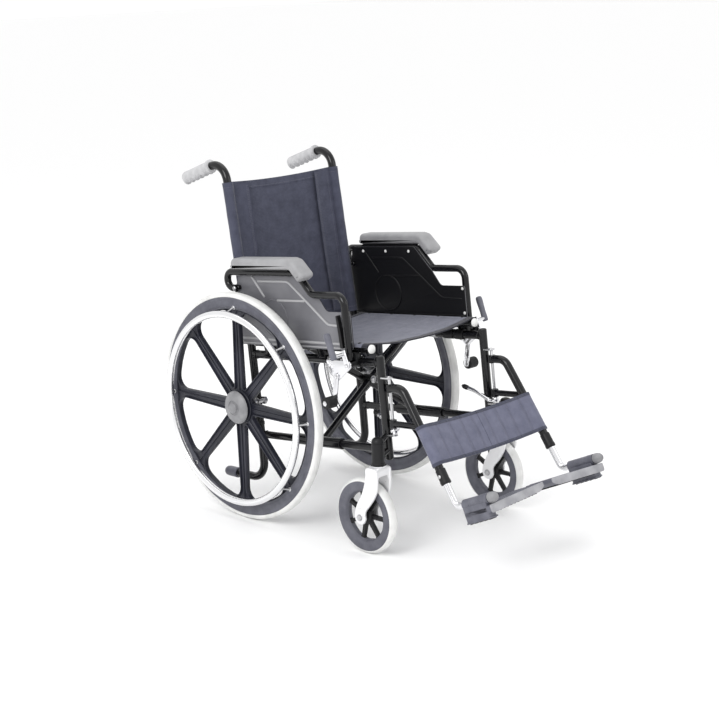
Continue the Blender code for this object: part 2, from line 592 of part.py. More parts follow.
# ---------------------------------------------------------------- footrest
def footrest(name, side):
    x = side * FRAME_X
    eyes = [rod(fr(x, PIN_Y, z - 0.0105), fr(x, PIN_Y, z + 0.0105), 0.0095, 14) for z in (HANGER_TOP, HANGER_LOW)]
    upper_corners = [fr(x, PIN_Y, HANGER_TOP), fr(x, HANGER_ELBOW[0] + 0.006, HANGER_TOP),
                     hanger_point(side, HANGER_END)]
    upper = tube(rounded(upper_corners, [0.030]), TUBE_R - 0.0002)
    stub = rod(fr(x, PIN_Y, HANGER_LOW), hanger_point(side, 0.098), 0.0080, 12)
    hanger = join(upper, stub, *eyes)
    pin_holes = [rod(fr(x, PIN_Y, z - 0.02), fr(x, PIN_Y, z + 0.02), PIN_R + GAP, 12) for z in (HANGER_TOP, HANGER_LOW)]
    bore_top = hanger_point(side, 0.086)
    bore = rod(bore_top, hanger_point(side, HANGER_END + 0.02), 0.0091)
    finish(cut(hanger, *pin_holes, bore), "hanger_" + name, "frame")

    eye = rod(fr(x, PIN_Y, -0.0485), fr(x, PIN_Y, -0.0365), 0.0090, 14)
    in_x = side * 0.1715
    strip_corners = [fr(x, PIN_Y, -0.0425), fr(in_x, PIN_Y + 0.003, -0.0400), fr(in_x, -0.4450, -0.0180),
                     fr(in_x - side * 0.006, -0.4080, -0.0050)]
    strip = tube(rounded(strip_corners, [0.004, 0.0]), 0.0042, 2)
    latch = cut(join(eye, strip), rod(fr(x, PIN_Y, -0.06), fr(x, PIN_Y, -0.02), PIN_R + GAP, 12))
    finish(latch, "hanger_latch_" + name, "steel")

    foot = foot_matrix(side)
    corners = [hanger_point(side, EXTENSION_TOP), foot @ Vector((0, 0, 0)), foot @ Vector((0, PIVOT_LENGTH, 0))]
    finish(tube(rounded(corners, [0.016]), EXTENSION_R), "extension_tube_" + name, "chrome")

    collar_y = (0.0520, 0.0880)
    across = foot.to_3x3() @ Vector((0, 1, 0))
    collar = turned(ring_profile(0.0091, 0.0132, 0.0, collar_y[1] - collar_y[0]), foot @ Vector((0, collar_y[0], 0)),
                    across, 16)
    finish(collar, "footplate_collar_" + name, "dark_plastic")

    inward = 1 if (foot.to_3x3() @ Vector((1, 0, 0))).x * side < 0 else -1
    near, far = -PLATE_OUT * inward, PLATE_REACH * inward
    high, low = PLATE_TOP[1], PLATE_TOP[0]
    section = [(near, low), (far, high), (far, high - 0.010), (far - 0.018 * inward, high - 0.0195), (near, low - 0.0205)]
    end_on = foot @ Matrix.Rotation(math.radians(90), 4, "X")
    slab = plate([section], -PLATE_P[1], -PLATE_P[0], end_on)
    cheek = block((near, PLATE_P[0] - 0.001, -0.046), (0.013 * inward, 0.106, -0.003), foot)
    knuckles = [rod(foot @ Vector((0, a, 0)), foot @ Vector((0, b, 0)), 0.0132)
                for a, b in ((PLATE_P[0] - 0.001, collar_y[0] - GAP), (collar_y[1] + GAP, 0.1120))]
    clear = rod(foot @ Vector((0, collar_y[0] - GAP, 0)), foot @ Vector((0, collar_y[1] + GAP, 0)), 0.0140)
    bore = rod(foot @ Vector((0, -0.01, 0)), foot @ Vector((0, 0.1310, 0)), 0.0091)
    finish(cut(join(slab, cheek, *knuckles), clear, bore), "footplate_" + name, "grey_plastic")

    strap_low = hanger_point(side, STRAP_S[0], TUBE_R + 0.0006)
    down = (hanger_point(side, STRAP_S[1], TUBE_R + 0.0006) - strap_low).normalized()
    face = DATUM.to_3x3() @ Vector((0, -math.sin(HANGER_SLOPE), math.cos(HANGER_SLOPE)))
    along = Vector((side, 0, 0))
    down = (down - along * down.dot(along)).normalized()
    axes = Matrix((along, down, face)).transposed().to_4x4()
    origin = Vector((0, strap_low.y, strap_low.z))
    strap = block((0.0010, 0, 0), (0.2050, STRAP_S[1] - STRAP_S[0], 0.0030), Matrix.Translation(origin) @ axes)
    strap = as_mesh(strap)
    finish(strap, "calf_strap_" + name, "nylon")


# ---------------------------------------------------------------- upholstery
def seat_sling():
    slab = block((-0.1785, -0.440, 0.1730), (0.1785, -0.022, 0.1770), DATUM)
    finish(slab, "seat_sling", "nylon")


def back_sling():
    lean = math.atan2(CANE_TOP[0] - POST_Y, CANE_TOP[1] - CANE_BEND_Z)
    axes = DATUM @ Matrix.Translation((0, POST_Y, CANE_BEND_Z)) @ Matrix.Rotation(-lean, 4, "X")
    slab = block((-0.1780, 0.0030, 0.052), (0.1780, 0.0070, 0.434), axes)
    finish(slab, "back_sling", "nylon")


for side_name, sign in SIDES.items():
    side_frame(side_name, sign)
    back_cane(side_name, sign)
    rear_wheel(side_name, sign)
    caster(side_name, sign)
    armrest(side_name, sign)
    brake(side_name, sign)
    footrest(side_name, sign)
brace_bar("a", 1, BRACE_Y[0])
brace_bar("b", -1, BRACE_Y[1])
centre_bolt()
seat_sling()
back_sling()
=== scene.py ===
"""Looks for the manual wheelchair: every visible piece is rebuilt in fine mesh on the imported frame."""
import math

import bmesh
import bpy
from mathutils import Matrix, Vector, noise


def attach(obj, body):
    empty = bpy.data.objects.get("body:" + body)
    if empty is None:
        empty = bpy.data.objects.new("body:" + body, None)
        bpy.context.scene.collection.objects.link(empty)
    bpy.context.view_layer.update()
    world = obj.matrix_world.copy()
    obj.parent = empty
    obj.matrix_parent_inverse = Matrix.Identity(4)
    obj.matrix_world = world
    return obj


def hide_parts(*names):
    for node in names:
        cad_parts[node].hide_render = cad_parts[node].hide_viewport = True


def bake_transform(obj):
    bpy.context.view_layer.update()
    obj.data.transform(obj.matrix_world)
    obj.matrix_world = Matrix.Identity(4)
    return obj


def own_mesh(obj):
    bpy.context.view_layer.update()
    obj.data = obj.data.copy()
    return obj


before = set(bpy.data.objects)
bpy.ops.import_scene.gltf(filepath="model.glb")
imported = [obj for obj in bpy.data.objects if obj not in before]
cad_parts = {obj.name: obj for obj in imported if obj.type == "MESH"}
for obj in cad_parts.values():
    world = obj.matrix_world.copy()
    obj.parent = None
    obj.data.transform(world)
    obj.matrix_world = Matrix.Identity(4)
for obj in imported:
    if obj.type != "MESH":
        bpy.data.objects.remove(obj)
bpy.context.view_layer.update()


# ---------------------------------------------------------------- the design's own numbers, in metres
TILT = math.radians(5.5)
AXLE_Y = 0.264
WHEEL_R = 0.305
TUBE_R = 0.011
FRAME_X = 0.191
POST_Y = 0.008
FRONT_Y = -0.470
UPPER_Z = 0.128
LOWER_Z = -0.090
RAIL_Z = 0.161
CANE_BEND_Z = 0.150
CANE_TOP = (0.033, 0.588)
GRIP_DROP = math.radians(14)
ARM_X = 0.2225
ARM_R = 0.0095
ARM_Z = 0.3525
ARM_PIVOT = (0.004, 0.3095)
ARM_POST_Y = -0.397
TYRE_X = 0.256
HANDRIM_X = 0.2925
HANDRIM_R = 0.252
CASTER_X = 0.2405
CASTER_STEM_Y = AXLE_Y - 0.488
CASTER_TRAIL = 0.044
CASTER_R = 0.0965
HOUSING_Z = (0.236, 0.305)
BRACE_Y = (-0.2095, -0.2310)
PIN_Y = -0.4945
HANGER_TOP = 0.067
HANGER_LOW = -0.023
HANGER_ELBOW = (-0.5435, 0.063)
HANGER_SLOPE = math.radians(61.5)
HANGER_SPLAY = 0.009
HANGER_LENGTH = 0.310
HANGER_END = 0.243
FOOT_RISE = math.radians(18.5)
BRAKE_LEVER_PIVOT = (-0.408, 0.128)
BRAKE_ARM_PIVOT = (-0.366, 0.098)
BRAKE_SHOE = (-0.353, 0.036)
BRAKE_BASE_X = 0.2410
BRAKE_LINK_X = 0.2454
PAD_X = 0.2355
SOCKET_X = (0.2000, 0.2375)
LATCH_Z = -0.0425
SIDES = {"left": 1, "right": -1}
DATUM = Matrix.Translation((0, AXLE_Y, WHEEL_R)) @ Matrix.Rotation(-TILT, 4, "X")
UP = DATUM.to_3x3() @ Vector((0, 0, 1))
REARWARD = DATUM.to_3x3() @ Vector((0, 1, 0))
LEAN = math.atan2(CANE_TOP[0] - POST_Y, CANE_TOP[1] - CANE_BEND_Z)


def fr(x, y, z):
    """A point given about the rear axle, in the leaning frame."""
    return DATUM @ Vector((x, y, z))


def hanger_point(side, s, out=0.0, across=0.0):
    """A point down the sloping hanger tube, s from its elbow; out is off its front, across along X."""
    y = HANGER_ELBOW[0] - s * math.cos(HANGER_SLOPE) - out * math.sin(HANGER_SLOPE)
    z = HANGER_ELBOW[1] - s * math.sin(HANGER_SLOPE) + out * math.cos(HANGER_SLOPE)
    return fr(side * (FRAME_X + HANGER_SPLAY * s / HANGER_LENGTH) + across, y, z)


def foot_matrix(side):
    """Axes at the hanger's lower end: y along the footplate's pivot tube, z up."""
    base = hanger_point(side, HANGER_LENGTH)
    ahead = DATUM.to_3x3() @ Vector((0, -math.cos(FOOT_RISE), math.sin(FOOT_RISE)))
    up = DATUM.to_3x3() @ Vector((0, math.sin(FOOT_RISE), math.cos(FOOT_RISE)))
    turn = Matrix((ahead.cross(up), ahead, up)).transposed()
    return Matrix.Translation(base) @ turn.to_4x4()


# ---------------------------------------------------------------- materials
def mat(name, colour, rough=0.5, metal=0.0, coat=0.0, coat_rough=0.1, sheen=0.0, spec=0.5):
    made = bpy.data.materials.new(name)
    made.use_nodes = True
    shader = made.node_tree.nodes["Principled BSDF"]
    shader.inputs["Base Color"].default_value = (*colour, 1.0)
    shader.inputs["Roughness"].default_value = rough
    shader.inputs["Metallic"].default_value = metal
    shader.inputs["Coat Weight"].default_value = coat
    shader.inputs["Coat Roughness"].default_value = coat_rough
    shader.inputs["Sheen Weight"].default_value = sheen
    shader.inputs["Specular IOR Level"].default_value = spec
    return made


def node(made, kind, **values):
    new = made.node_tree.nodes.new(kind)
    for key, value in values.items():
        if key in new.inputs:
            new.inputs[key].default_value = value
        else:
            setattr(new, key, value)
    return new


def place(made):
    """Object coordinates, in metres."""
    found = [n for n in made.node_tree.nodes if n.type == "TEX_COORD"]
    return (found[0] if found else node(made, "ShaderNodeTexCoord")).outputs["Object"]


def noise_of(made, scale, detail=3.0, rough=0.5):
    new = node(made, "ShaderNodeTexNoise", Scale=scale, Detail=detail, Roughness=rough)
    made.node_tree.links.new(place(made), new.inputs["Vector"])
    return new.outputs["Fac"]


def ramp(made, source, stops):
    new = made.node_tree.nodes.new("ShaderNodeValToRGB")
    made.node_tree.links.new(source, new.inputs["Fac"])
    line = new.color_ramp.elements
    line[0].position, line[0].color = stops[0][0], (*stops[0][1], 1)
    line[1].position, line[1].color = stops[-1][0], (*stops[-1][1], 1)
    for where, colour in stops[1:-1]:
        line.new(where).color = (*colour, 1)
    return new.outputs["Color"]


def vary_colour(made, source, stops):
    shader = made.node_tree.nodes["Principled BSDF"]
    made.node_tree.links.new(ramp(made, source, stops), shader.inputs["Base Color"])


def vary_rough(made, source, low, high):
    shader = made.node_tree.nodes["Principled BSDF"]
    new = node(made, "ShaderNodeMapRange")
    new.inputs["To Min"].default_value = low
    new.inputs["To Max"].default_value = high
    made.node_tree.links.new(source, new.inputs["Value"])
    made.node_tree.links.new(new.outputs["Result"], shader.inputs["Roughness"])


def bump(made, source, distance, strength=1.0):
    shader = made.node_tree.nodes["Principled BSDF"]
    new = node(made, "ShaderNodeBump", Strength=strength, Distance=distance)
    links = made.node_tree.links
    if shader.inputs["Normal"].links:
        links.new(shader.inputs["Normal"].links[0].from_socket, new.inputs["Normal"])
    links.new(source, new.inputs["Height"])
    links.new(new.outputs["Normal"], shader.inputs["Normal"])


def weave(made, pitch):
    """Height of a plain woven cloth, over and under along two slanting directions."""
    links = made.node_tree.links
    waves = []
    for turn in ((0, 0, 0), (math.radians(90), math.radians(90), 0)):
        mapping = node(made, "ShaderNodeMapping")
        mapping.inputs["Rotation"].default_value = turn
        links.new(place(made), mapping.inputs["Vector"])
        wave = node(made, "ShaderNodeTexWave", Scale=1 / pitch / 3.14)
        wave.inputs["Distortion"].default_value = 0.6
        wave.inputs["Detail"].default_value = 1.0
        links.new(mapping.outputs["Vector"], wave.inputs["Vector"])
        waves.append(wave.outputs["Fac"])
    new = node(made, "ShaderNodeMath", operation="MAXIMUM")
    links.new(waves[0], new.inputs[0])
    links.new(waves[1], new.inputs[1])
    return new.outputs["Value"]


def surface(name, colour, rough, grain=None, shade=None, gloss=None, stops=(0.3, 0.7), **shader):
    """A hard surface with its small variations.

    grain is (noise, height, strength), shade is (noise, dark, light) and gloss is (noise, low, high),
    where a noise is its scale, and its detail and roughness if they differ from the usual ones.
    """
    made = mat(name, colour, rough, **shader)
    if shade:
        vary_colour(made, noise_of(made, *shade[0]), list(zip(stops, shade[1:])))
    if gloss:
        vary_rough(made, noise_of(made, *gloss[0]), *gloss[1:])
    if grain:
        bump(made, noise_of(made, *grain[0]), *grain[1:])
    return made


def cloth(name, low, high, pitch=0.0013):
    """Woven nylon between two colours."""
    made = mat(name, high, 0.86, sheen=0.25, spec=0.25)
    made.node_tree.nodes["Principled BSDF"].inputs["Sheen Roughness"].default_value = 0.4
    vary_colour(made, noise_of(made, 38, 6, 0.65), [(0.28, low), (0.72, high)])
    bump(made, noise_of(made, 55, 4), 0.0012, 0.30)
    bump(made, weave(made, pitch), 0.00028, 0.55)
    return made


FINE, MEDIUM, COARSE = (1700, 2), (1500, 3), (500, 3)
M = {"frame": surface("frame_black_gloss", (0.004, 0.004, 0.005), 0.16, ((900, 2), 0.00006, 0.35),
                      gloss=((60,), 0.11, 0.24), coat=0.12, coat_rough=0.05, spec=0.32),
     "black": surface("black_moulded", (0.006, 0.006, 0.007), 0.42, ((2200, 2), 0.00008, 0.4),
                      gloss=((90,), 0.34, 0.55), spec=0.3), "chrome": surface("chrome_polished",
                                                                              (0.74, 0.74, 0.76), 0.09,
                                                                              gloss=((45,), 0.06, 0.17),
                                                                              metal=1.0),
     "handrim": surface("handrim_plated", (0.84, 0.84, 0.85), 0.16, gloss=((35,), 0.12, 0.26), metal=1.0),
     "steel": surface("zinc_plated_steel", (0.55, 0.55, 0.56), 0.32, gloss=((150,), 0.22, 0.42), metal=1.0),
     "mag": surface("wheel_moulded_grey", (0.020, 0.021, 0.030), 0.38, ((1800, 2), 0.00007, 0.35),
                    ((14,), (0.011, 0.012, 0.019), (0.024, 0.025, 0.037)), ((70,), 0.30, 0.48), spec=0.35),
     "rim": surface("rim_moulded_grey", (0.06, 0.06, 0.08), 0.45, ((1800, 2), 0.00007, 0.35),
                    ((26, 5, 0.65), (0.072, 0.073, 0.092), (0.125, 0.127, 0.152)), spec=0.35),
     "tyre": surface("light_solid_rubber", (0.78, 0.78, 0.765), 0.62, ((1300, 3), 0.00012, 0.5),
                     ((25, 5), (0.60, 0.60, 0.59), (0.74, 0.74, 0.73)), stops=(0.25, 0.6), spec=0.35),
     "light_grey": surface("light_grey_moulded", (0.50, 0.50, 0.52), 0.42, (FINE, 0.00009, 0.45),
                           ((40, 4), (0.17, 0.17, 0.18), (0.26, 0.26, 0.27))),
     "guard_grey": surface("guard_grey_moulded", (0.30, 0.30, 0.32), 0.40, (MEDIUM, 0.00012, 0.5),
                           ((9, 4), (0.10, 0.10, 0.112), (0.165, 0.165, 0.18))),
     # guard_rib: a lighter grey than the guard, a painted highlight for light catching the raised ribs
     "guard_rib": surface("guard_rib_painted_highlight", (0.34, 0.34, 0.35), 0.38, (MEDIUM, 0.0001, 0.4)),
     "grip": surface("grip_light_grey", (0.45, 0.45, 0.46), 0.5, (FINE, 0.00009, 0.45),
                     ((40, 4), (0.38, 0.38, 0.39), (0.52, 0.52, 0.53))),
     "guard_black": surface("guard_black_moulded", (0.005, 0.005, 0.006), 0.40, (MEDIUM, 0.00012, 0.5),
                            spec=0.28), "pad": surface("pad_grey_foam_skin", (0.46, 0.46, 0.47), 0.50,
                                                       ((700, 5, 0.6), 0.00022, 0.6),
                                                       ((22, 4), (0.24, 0.24, 0.248), (0.32, 0.32, 0.33))),
     "fork": surface("fork_white_cast", (0.80, 0.80, 0.81), 0.30, (COARSE, 0.00012, 0.4),
                     gloss=((80,), 0.22, 0.40), metal=0.35, coat=0.2),
     "plate": surface("footplate_light_grey", (0.55, 0.55, 0.57), 0.38, (MEDIUM, 0.0001, 0.5),
                      ((30, 4), (0.24, 0.24, 0.26), (0.36, 0.36, 0.38))),
     "plate_dark": surface("footplate_blue_grey", (0.22, 0.22, 0.25), 0.45, (MEDIUM, 0.0001, 0.5),
                           ((40, 4), (0.075, 0.077, 0.10), (0.125, 0.127, 0.155))),
     "nylon": cloth("nylon_navy_grey", (0.110, 0.114, 0.150), (0.175, 0.180, 0.226)),
     "nylon_light": cloth("nylon_blue_grey", (0.105, 0.110, 0.160), (0.150, 0.155, 0.215)),
     "nylon_back": cloth("nylon_navy_back", (0.042, 0.045, 0.068), (0.070, 0.074, 0.108)),
     "thread": surface("thread_grey", (0.14, 0.14, 0.17), 0.8, ((2500, 2), 0.0001, 0.6)),
     "webbing": cloth("binding_dark", (0.016, 0.016, 0.022), (0.028, 0.028, 0.038), 0.0010),}


# ---------------------------------------------------------------- mesh building
def spread(low, high, count):
    """Evenly spaced values from low to high, one more than count."""
    return [low + (high - low) * k / count for k in range(count + 1)]


def turns(count):
    """Evenly spaced angles round a full turn."""
    return [2 * math.pi * k / count for k in range(count)]


def mirrored(half):
    """A closed profile of (radius, height): its half, the same points at opposite heights, and its start."""
    return half + [(r, -h) for r, h in reversed(half) if h] + half[:1]


class Piece:
    """One visible piece, gathered from closed shapes."""

    def __init__(self, name, material, body, replaces=(), slot=None, sharp=35):
        self.name, self.material, self.body = name, material, body
        self.nodes, self.slot, self.sharp = replaces, slot, sharp
        self.shape = bmesh.new()

    def add(self, verts, faces, matrix=None):
        """Adds faces, turned over where the matrix mirrors them."""
        made = [self.shape.verts.new(matrix @ Vector(v) if matrix else v) for v in verts]
        flip = matrix is not None and matrix.to_3x3().determinant() < 0
        for face in faces:
            try:
                self.shape.faces.new([made[i] for i in (reversed(face) if flip else face)])
            except ValueError:
                pass
        return self

    def mesh(self, other, matrix=None):
        """Adds another bmesh's shape, and frees it."""
        other.verts.ensure_lookup_table()
        index = {v: i for i, v in enumerate(other.verts)}
        self.add([v.co.copy() for v in other.verts], [[index[v] for v in f.verts] for f in other.faces],
                 matrix)
        other.free()
        return self

    def skin(self, rings):
        """A skin through rings of equally many points, with a flat face at each end."""
        sides = len(rings[0])
        last = (len(rings) - 1) * sides
        faces = []
        for start in range(0, last, sides):
            for k in range(sides):
                a, b = start + k, start + (k + 1) % sides
                faces.append((a, b, b + sides, a + sides))
        faces += [tuple(reversed(range(sides))), tuple(range(last, last + sides))]
        return self.add([v for ring in rings for v in ring], faces)

    def tube(self, points, radius, sides=20, dome=0.0):
        """A round tube along points, with slightly rounded ends; radius may be a list."""
        points = [Vector(p) for p in points]
        radii = list(radius) if hasattr(radius, "__len__") else [radius] * len(points)
        tangents = []
        for i in range(len(points)):
            a, b = points[max(i - 1, 0)], points[min(i + 1, len(points) - 1)]
            tangents.append((b - a).normalized())
        first = tangents[0].orthogonal().normalized()
        normals = [first]
        for i in range(1, len(points)):
            turn = tangents[i - 1].rotation_difference(tangents[i])
            normals.append((turn @ normals[-1]).normalized())
        edge = min(0.0012, min(radii) * 0.35)
        rings = []

        def ring(centre, normal, tangent, r):
            other = tangent.cross(normal)
            return [centre + (normal * math.cos(t) + other * math.sin(t)) * r
                    for t in turns(sides)]

        rings.append(ring(points[0] - tangents[0] * dome, normals[0], tangents[0], radii[0] - edge))
        rings.append(ring(points[0] + tangents[0] * edge, normals[0], tangents[0], radii[0]))
        for i in range(1, len(points) - 1):
            rings.append(ring(points[i], normals[i], tangents[i], radii[i]))
        rings.append(ring(points[-1] - tangents[-1] * edge, normals[-1], tangents[-1], radii[-1]))
        rings.append(ring(points[-1] + tangents[-1] * dome, normals[-1], tangents[-1], radii[-1] - edge))
        return self.skin(rings)

    def lathe(self, profile, centre, axis, steps=64):
        """A closed or axis-to-axis profile of (radius, height) turned about an axis."""
        turn = Matrix.Translation(centre) @ Vector(axis).to_track_quat("Z", "Y").to_matrix().to_4x4()
        closed = profile[0] == profile[-1]
        line = profile[:-1] if closed else profile
        verts, rows = [], []
        for radius, height in line:
            if radius < 1e-6:
                rows.append([len(verts)])
                verts.append((0, 0, height))
            else:
                rows.append(list(range(len(verts), len(verts) + steps)))
                verts += [(radius * math.cos(t), radius * math.sin(t), height)
                          for t in turns(steps)]
        faces = []
        pairs = zip(rows, rows[1:] + (rows[:1] if closed else []))
        for a, b in pairs:
            for k in range(steps):
                n = (k + 1) % steps
                if len(a) == 1 and len(b) == 1:
                    continue
                if len(a) == 1:
                    faces.append((a[0], b[n], b[k]))
                elif len(b) == 1:
                    faces.append((a[k], a[n], b[0]))
                else:
                    faces.append((a[k], a[n], b[n], b[k]))
        return self.add(verts, faces, turn)

    def block(self, low, high, matrix, bevel=0.001, segments=2):
        shape = bmesh.new()
        bmesh.ops.create_cube(shape, size=1.0)
        low, high = Vector(low), Vector(high)
        bmesh.ops.scale(shape, vec=[abs(v) for v in high - low], verts=shape.verts)
        bmesh.ops.translate(shape, vec=(low + high) / 2, verts=shape.verts)
        if bevel:
            bmesh.ops.bevel(shape, geom=shape.edges, offset=bevel, segments=segments, profile=0.5,
                            affect="EDGES")
        return self.mesh(shape, matrix)

    def slab(self, outlines, low, high, matrix, bevel=0.001, resolution=2):
        """A flat piece with rounded edges: an outline and holes, between two heights of the matrix's z."""
        curve = bpy.data.curves.new("slab", "CURVE")
        curve.dimensions = "2D"
        curve.fill_mode = "BOTH"
        half = abs(high - low) / 2
        curve.extrude = max(half - bevel, 0.00001)
        curve.bevel_depth = bevel
        curve.bevel_resolution = resolution
        curve.offset = -bevel
        for outline in outlines:
            line = curve.splines.new("POLY")
            line.points.add(len(outline) - 1)
            for knot, spot in zip(line.points, outline):
                knot.co = (spot[0], spot[1], 0.0, 1.0)
            line.use_cyclic_u = True
        obj = bpy.data.objects.new("slab", curve)
        bpy.context.scene.collection.objects.link(obj)
        bpy.context.view_layer.update()
        mesh = bpy.data.meshes.new_from_object(obj.evaluated_get(bpy.context.evaluated_depsgraph_get()))
        bpy.data.objects.remove(obj, do_unlink=True)
        shape = bmesh.new()
        shape.from_mesh(mesh)
        bmesh.ops.remove_doubles(shape, verts=shape.verts, dist=1e-6)
        bmesh.ops.dissolve_degenerate(shape, edges=shape.edges, dist=1e-6)
        bmesh.ops.recalc_face_normals(shape, faces=shape.faces)
        bpy.data.meshes.remove(mesh)
        return self.mesh(shape, matrix @ Matrix.Translation((0, 0, (low + high) / 2)))

    def finish(self):
        mesh = bpy.data.meshes.new(self.name)
        bmesh.ops.recalc_face_normals(self.shape, faces=self.shape.faces)
        self.shape.to_mesh(mesh)
        self.shape.free()
        obj = bpy.data.objects.new(self.name, mesh)
        bpy.context.scene.collection.objects.link(obj)
        mesh.materials.append(M[self.material])
        mesh.shade_smooth()
        mesh.set_sharp_from_angle(angle=math.radians(self.sharp))
        if self.body:
            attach(obj, self.body)
        if self.nodes:
            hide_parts(*self.nodes)
        return obj


def part(name, stem, material, body, node, slot, sharp=35):
    """A piece of one side of the chair, which stands for one CAD node of that side."""
    return Piece("%s_%s" % (stem, name), material, body, ["%s_%s" % (node, name)], slot, sharp)


def rounded(corners, radii, steps=10):
    """A path with its corners rounded, each by its own radius."""
    path = [Vector(corners[0])]
    for before, corner, after, radius in zip(corners, corners[1:], corners[2:], radii):
        before, corner, after = Vector(before), Vector(corner), Vector(after)
        if radius <= 0:
            path.append(corner)
            continue
        back, ahead = (before - corner).normalized(), (after - corner).normalized()
        half = back.angle(ahead) / 2
        if half > math.radians(89.5):
            path.append(corner)
            continue
        reach = radius / math.tan(half)
        start, end = corner + back * reach, corner + ahead * reach
        centre = corner + (back + ahead).normalized() * (radius / math.sin(half))
        first, last = start - centre, end - centre
        sweep = first.angle(last)
        for k in range(steps + 1):
            share = k / steps
            path.append(centre + (first * math.sin((1 - share) * sweep) + last * math.sin(share * sweep))
                        / math.sin(sweep))
    path.append(Vector(corners[-1]))
    return path


def loop(corners, radii, steps=6):
    """A closed flat outline with rounded corners, each round as large as its edges allow."""
    n = len(corners)
    radii = list(radii) if hasattr(radii, "__len__") else [radii] * n
    points = [Vector(c + (0,)) for c in corners]
    slopes = []
    for i in range(n):
        back, ahead_of = points[i - 1] - points[i], points[(i + 1) % n] - points[i]
        slopes.append(math.tan(back.angle(ahead_of) / 2))
    for i in range(n):
        k = (i + 1) % n
        room = (points[k] - points[i]).length * 0.96
        needed = radii[i] / slopes[i] + radii[k] / slopes[k]
        if needed > room:
            radii[i] *= room / needed
            radii[k] *= room / needed
    out = []
    for i in range(n):
        part = rounded([points[i - 1], points[i], points[(i + 1) % n]], [radii[i]], steps)
        out += [(p.x, p.y) for p in part[1:-1]]
    return out


def smooth_line(points, steps=8, closed=False):
    """A smooth curve through points."""
    points = [Vector(p) for p in points]
    n = len(points)
    out = []
    for i in range(n if closed else n - 1):
        p0 = points[(i - 1) % n] if closed or i > 0 else points[0] * 2 - points[1]
        p1, p2 = points[i], points[(i + 1) % n]
        p3 = points[(i + 2) % n] if closed or i + 2 < n else points[-1] * 2 - points[-2]
        for k in range(steps):
            t = k / steps
            out.append(0.5 * ((2 * p1) + (p2 - p0) * t + (2 * p0 - 5 * p1 + 4 * p2 - p3) * t * t
                              + (3 * p1 - p0 - 3 * p2 + p3) * t ** 3))
    if not closed:
        out.append(points[-1])
    return out


def dense(points, step=0.01):
    """The same path with extra points on its long runs."""
    out = [Vector(points[0])]
    for a, b in zip(points, points[1:]):
        a, b = Vector(a), Vector(b)
        n = max(1, int((b - a).length / step))
        out += [a.lerp(b, k / n) for k in range(1, n + 1)]
    return out


def arc(centre, radius, start, end, steps):
    """Flat points along an arc, from one angle in degrees to the other."""
    turn = [math.radians(start + (end - start) * k / steps) for k in range(steps + 1)]
    return [(centre[0] + radius * math.cos(a), centre[1] + radius * math.sin(a)) for a in turn]


def circle(centre, radius, steps):
    return arc(centre, radius, 0, 360, steps)[:-1]


AXES = Matrix(((0, 0, -1), (-1, 0, 0), (0, 1, 0))).to_4x4()


def side_view(x):
    """Axes for flat pieces: x forwards, y up, in the leaning frame. Its z points to the chair's right."""
    return DATUM @ Matrix.Translation((x, 0, 0)) @ AXES


def upright_view(x, y=0.0, z=0.0):
    """The same axes as side_view's, in the upright frame."""
    return Matrix.Translation((x, y, z)) @ AXES


def ahead(outline):
    """An outline of (y, z) points as side_view takes it, with forwards positive."""
    return [(-y, z) for y, z in outline]


def screw(piece, at, out, radius=0.0045, height=0.0022, sunk=True):
    """A domed screw head with a hex socket, standing on a face."""
    out = Vector(out).normalized()
    profile = [(0.0, height * 0.55), (radius * 0.42, height * 0.55),
               (radius * 0.5, height)] if sunk else [(0.0, height)]
    profile += [(radius * 0.8, height * 0.8), (radius, height * 0.3), (radius, -0.0004), (0.0, -0.0004)]
    piece.lathe(profile, at, out, 18)


def nut(piece, at, out, radius=0.006, height=0.005):
    """A hexagonal nut with the end of its bolt standing out."""
    out = Vector(out).normalized()
    piece.lathe([(0.0, height), (radius * 0.86, height), (radius, height * 0.8), (radius, 0.0), (0.0, 0.0)],
                at, out, 6)
    piece.lathe([(0.0, height + 0.0016), (radius * 0.45, height + 0.0012), (radius * 0.5, height - 0.001),
                 (0.0, height - 0.001)], at, out, 16)


# ---------------------------------------------------------------- frame pieces
FRONT_VIEW = Matrix(((1, 0, 0), (0, 0, -1), (0, 1, 0))).to_4x4()


def clamp_band(piece, at, along, radius, width):
    """A moulded band round a tube."""
    edge = 0.0012
    half = [(radius - 0.004, -width / 2), (radius - edge, -width / 2), (radius, -width / 2 + edge)]
    piece.lathe(mirrored(half), at, along, 32)


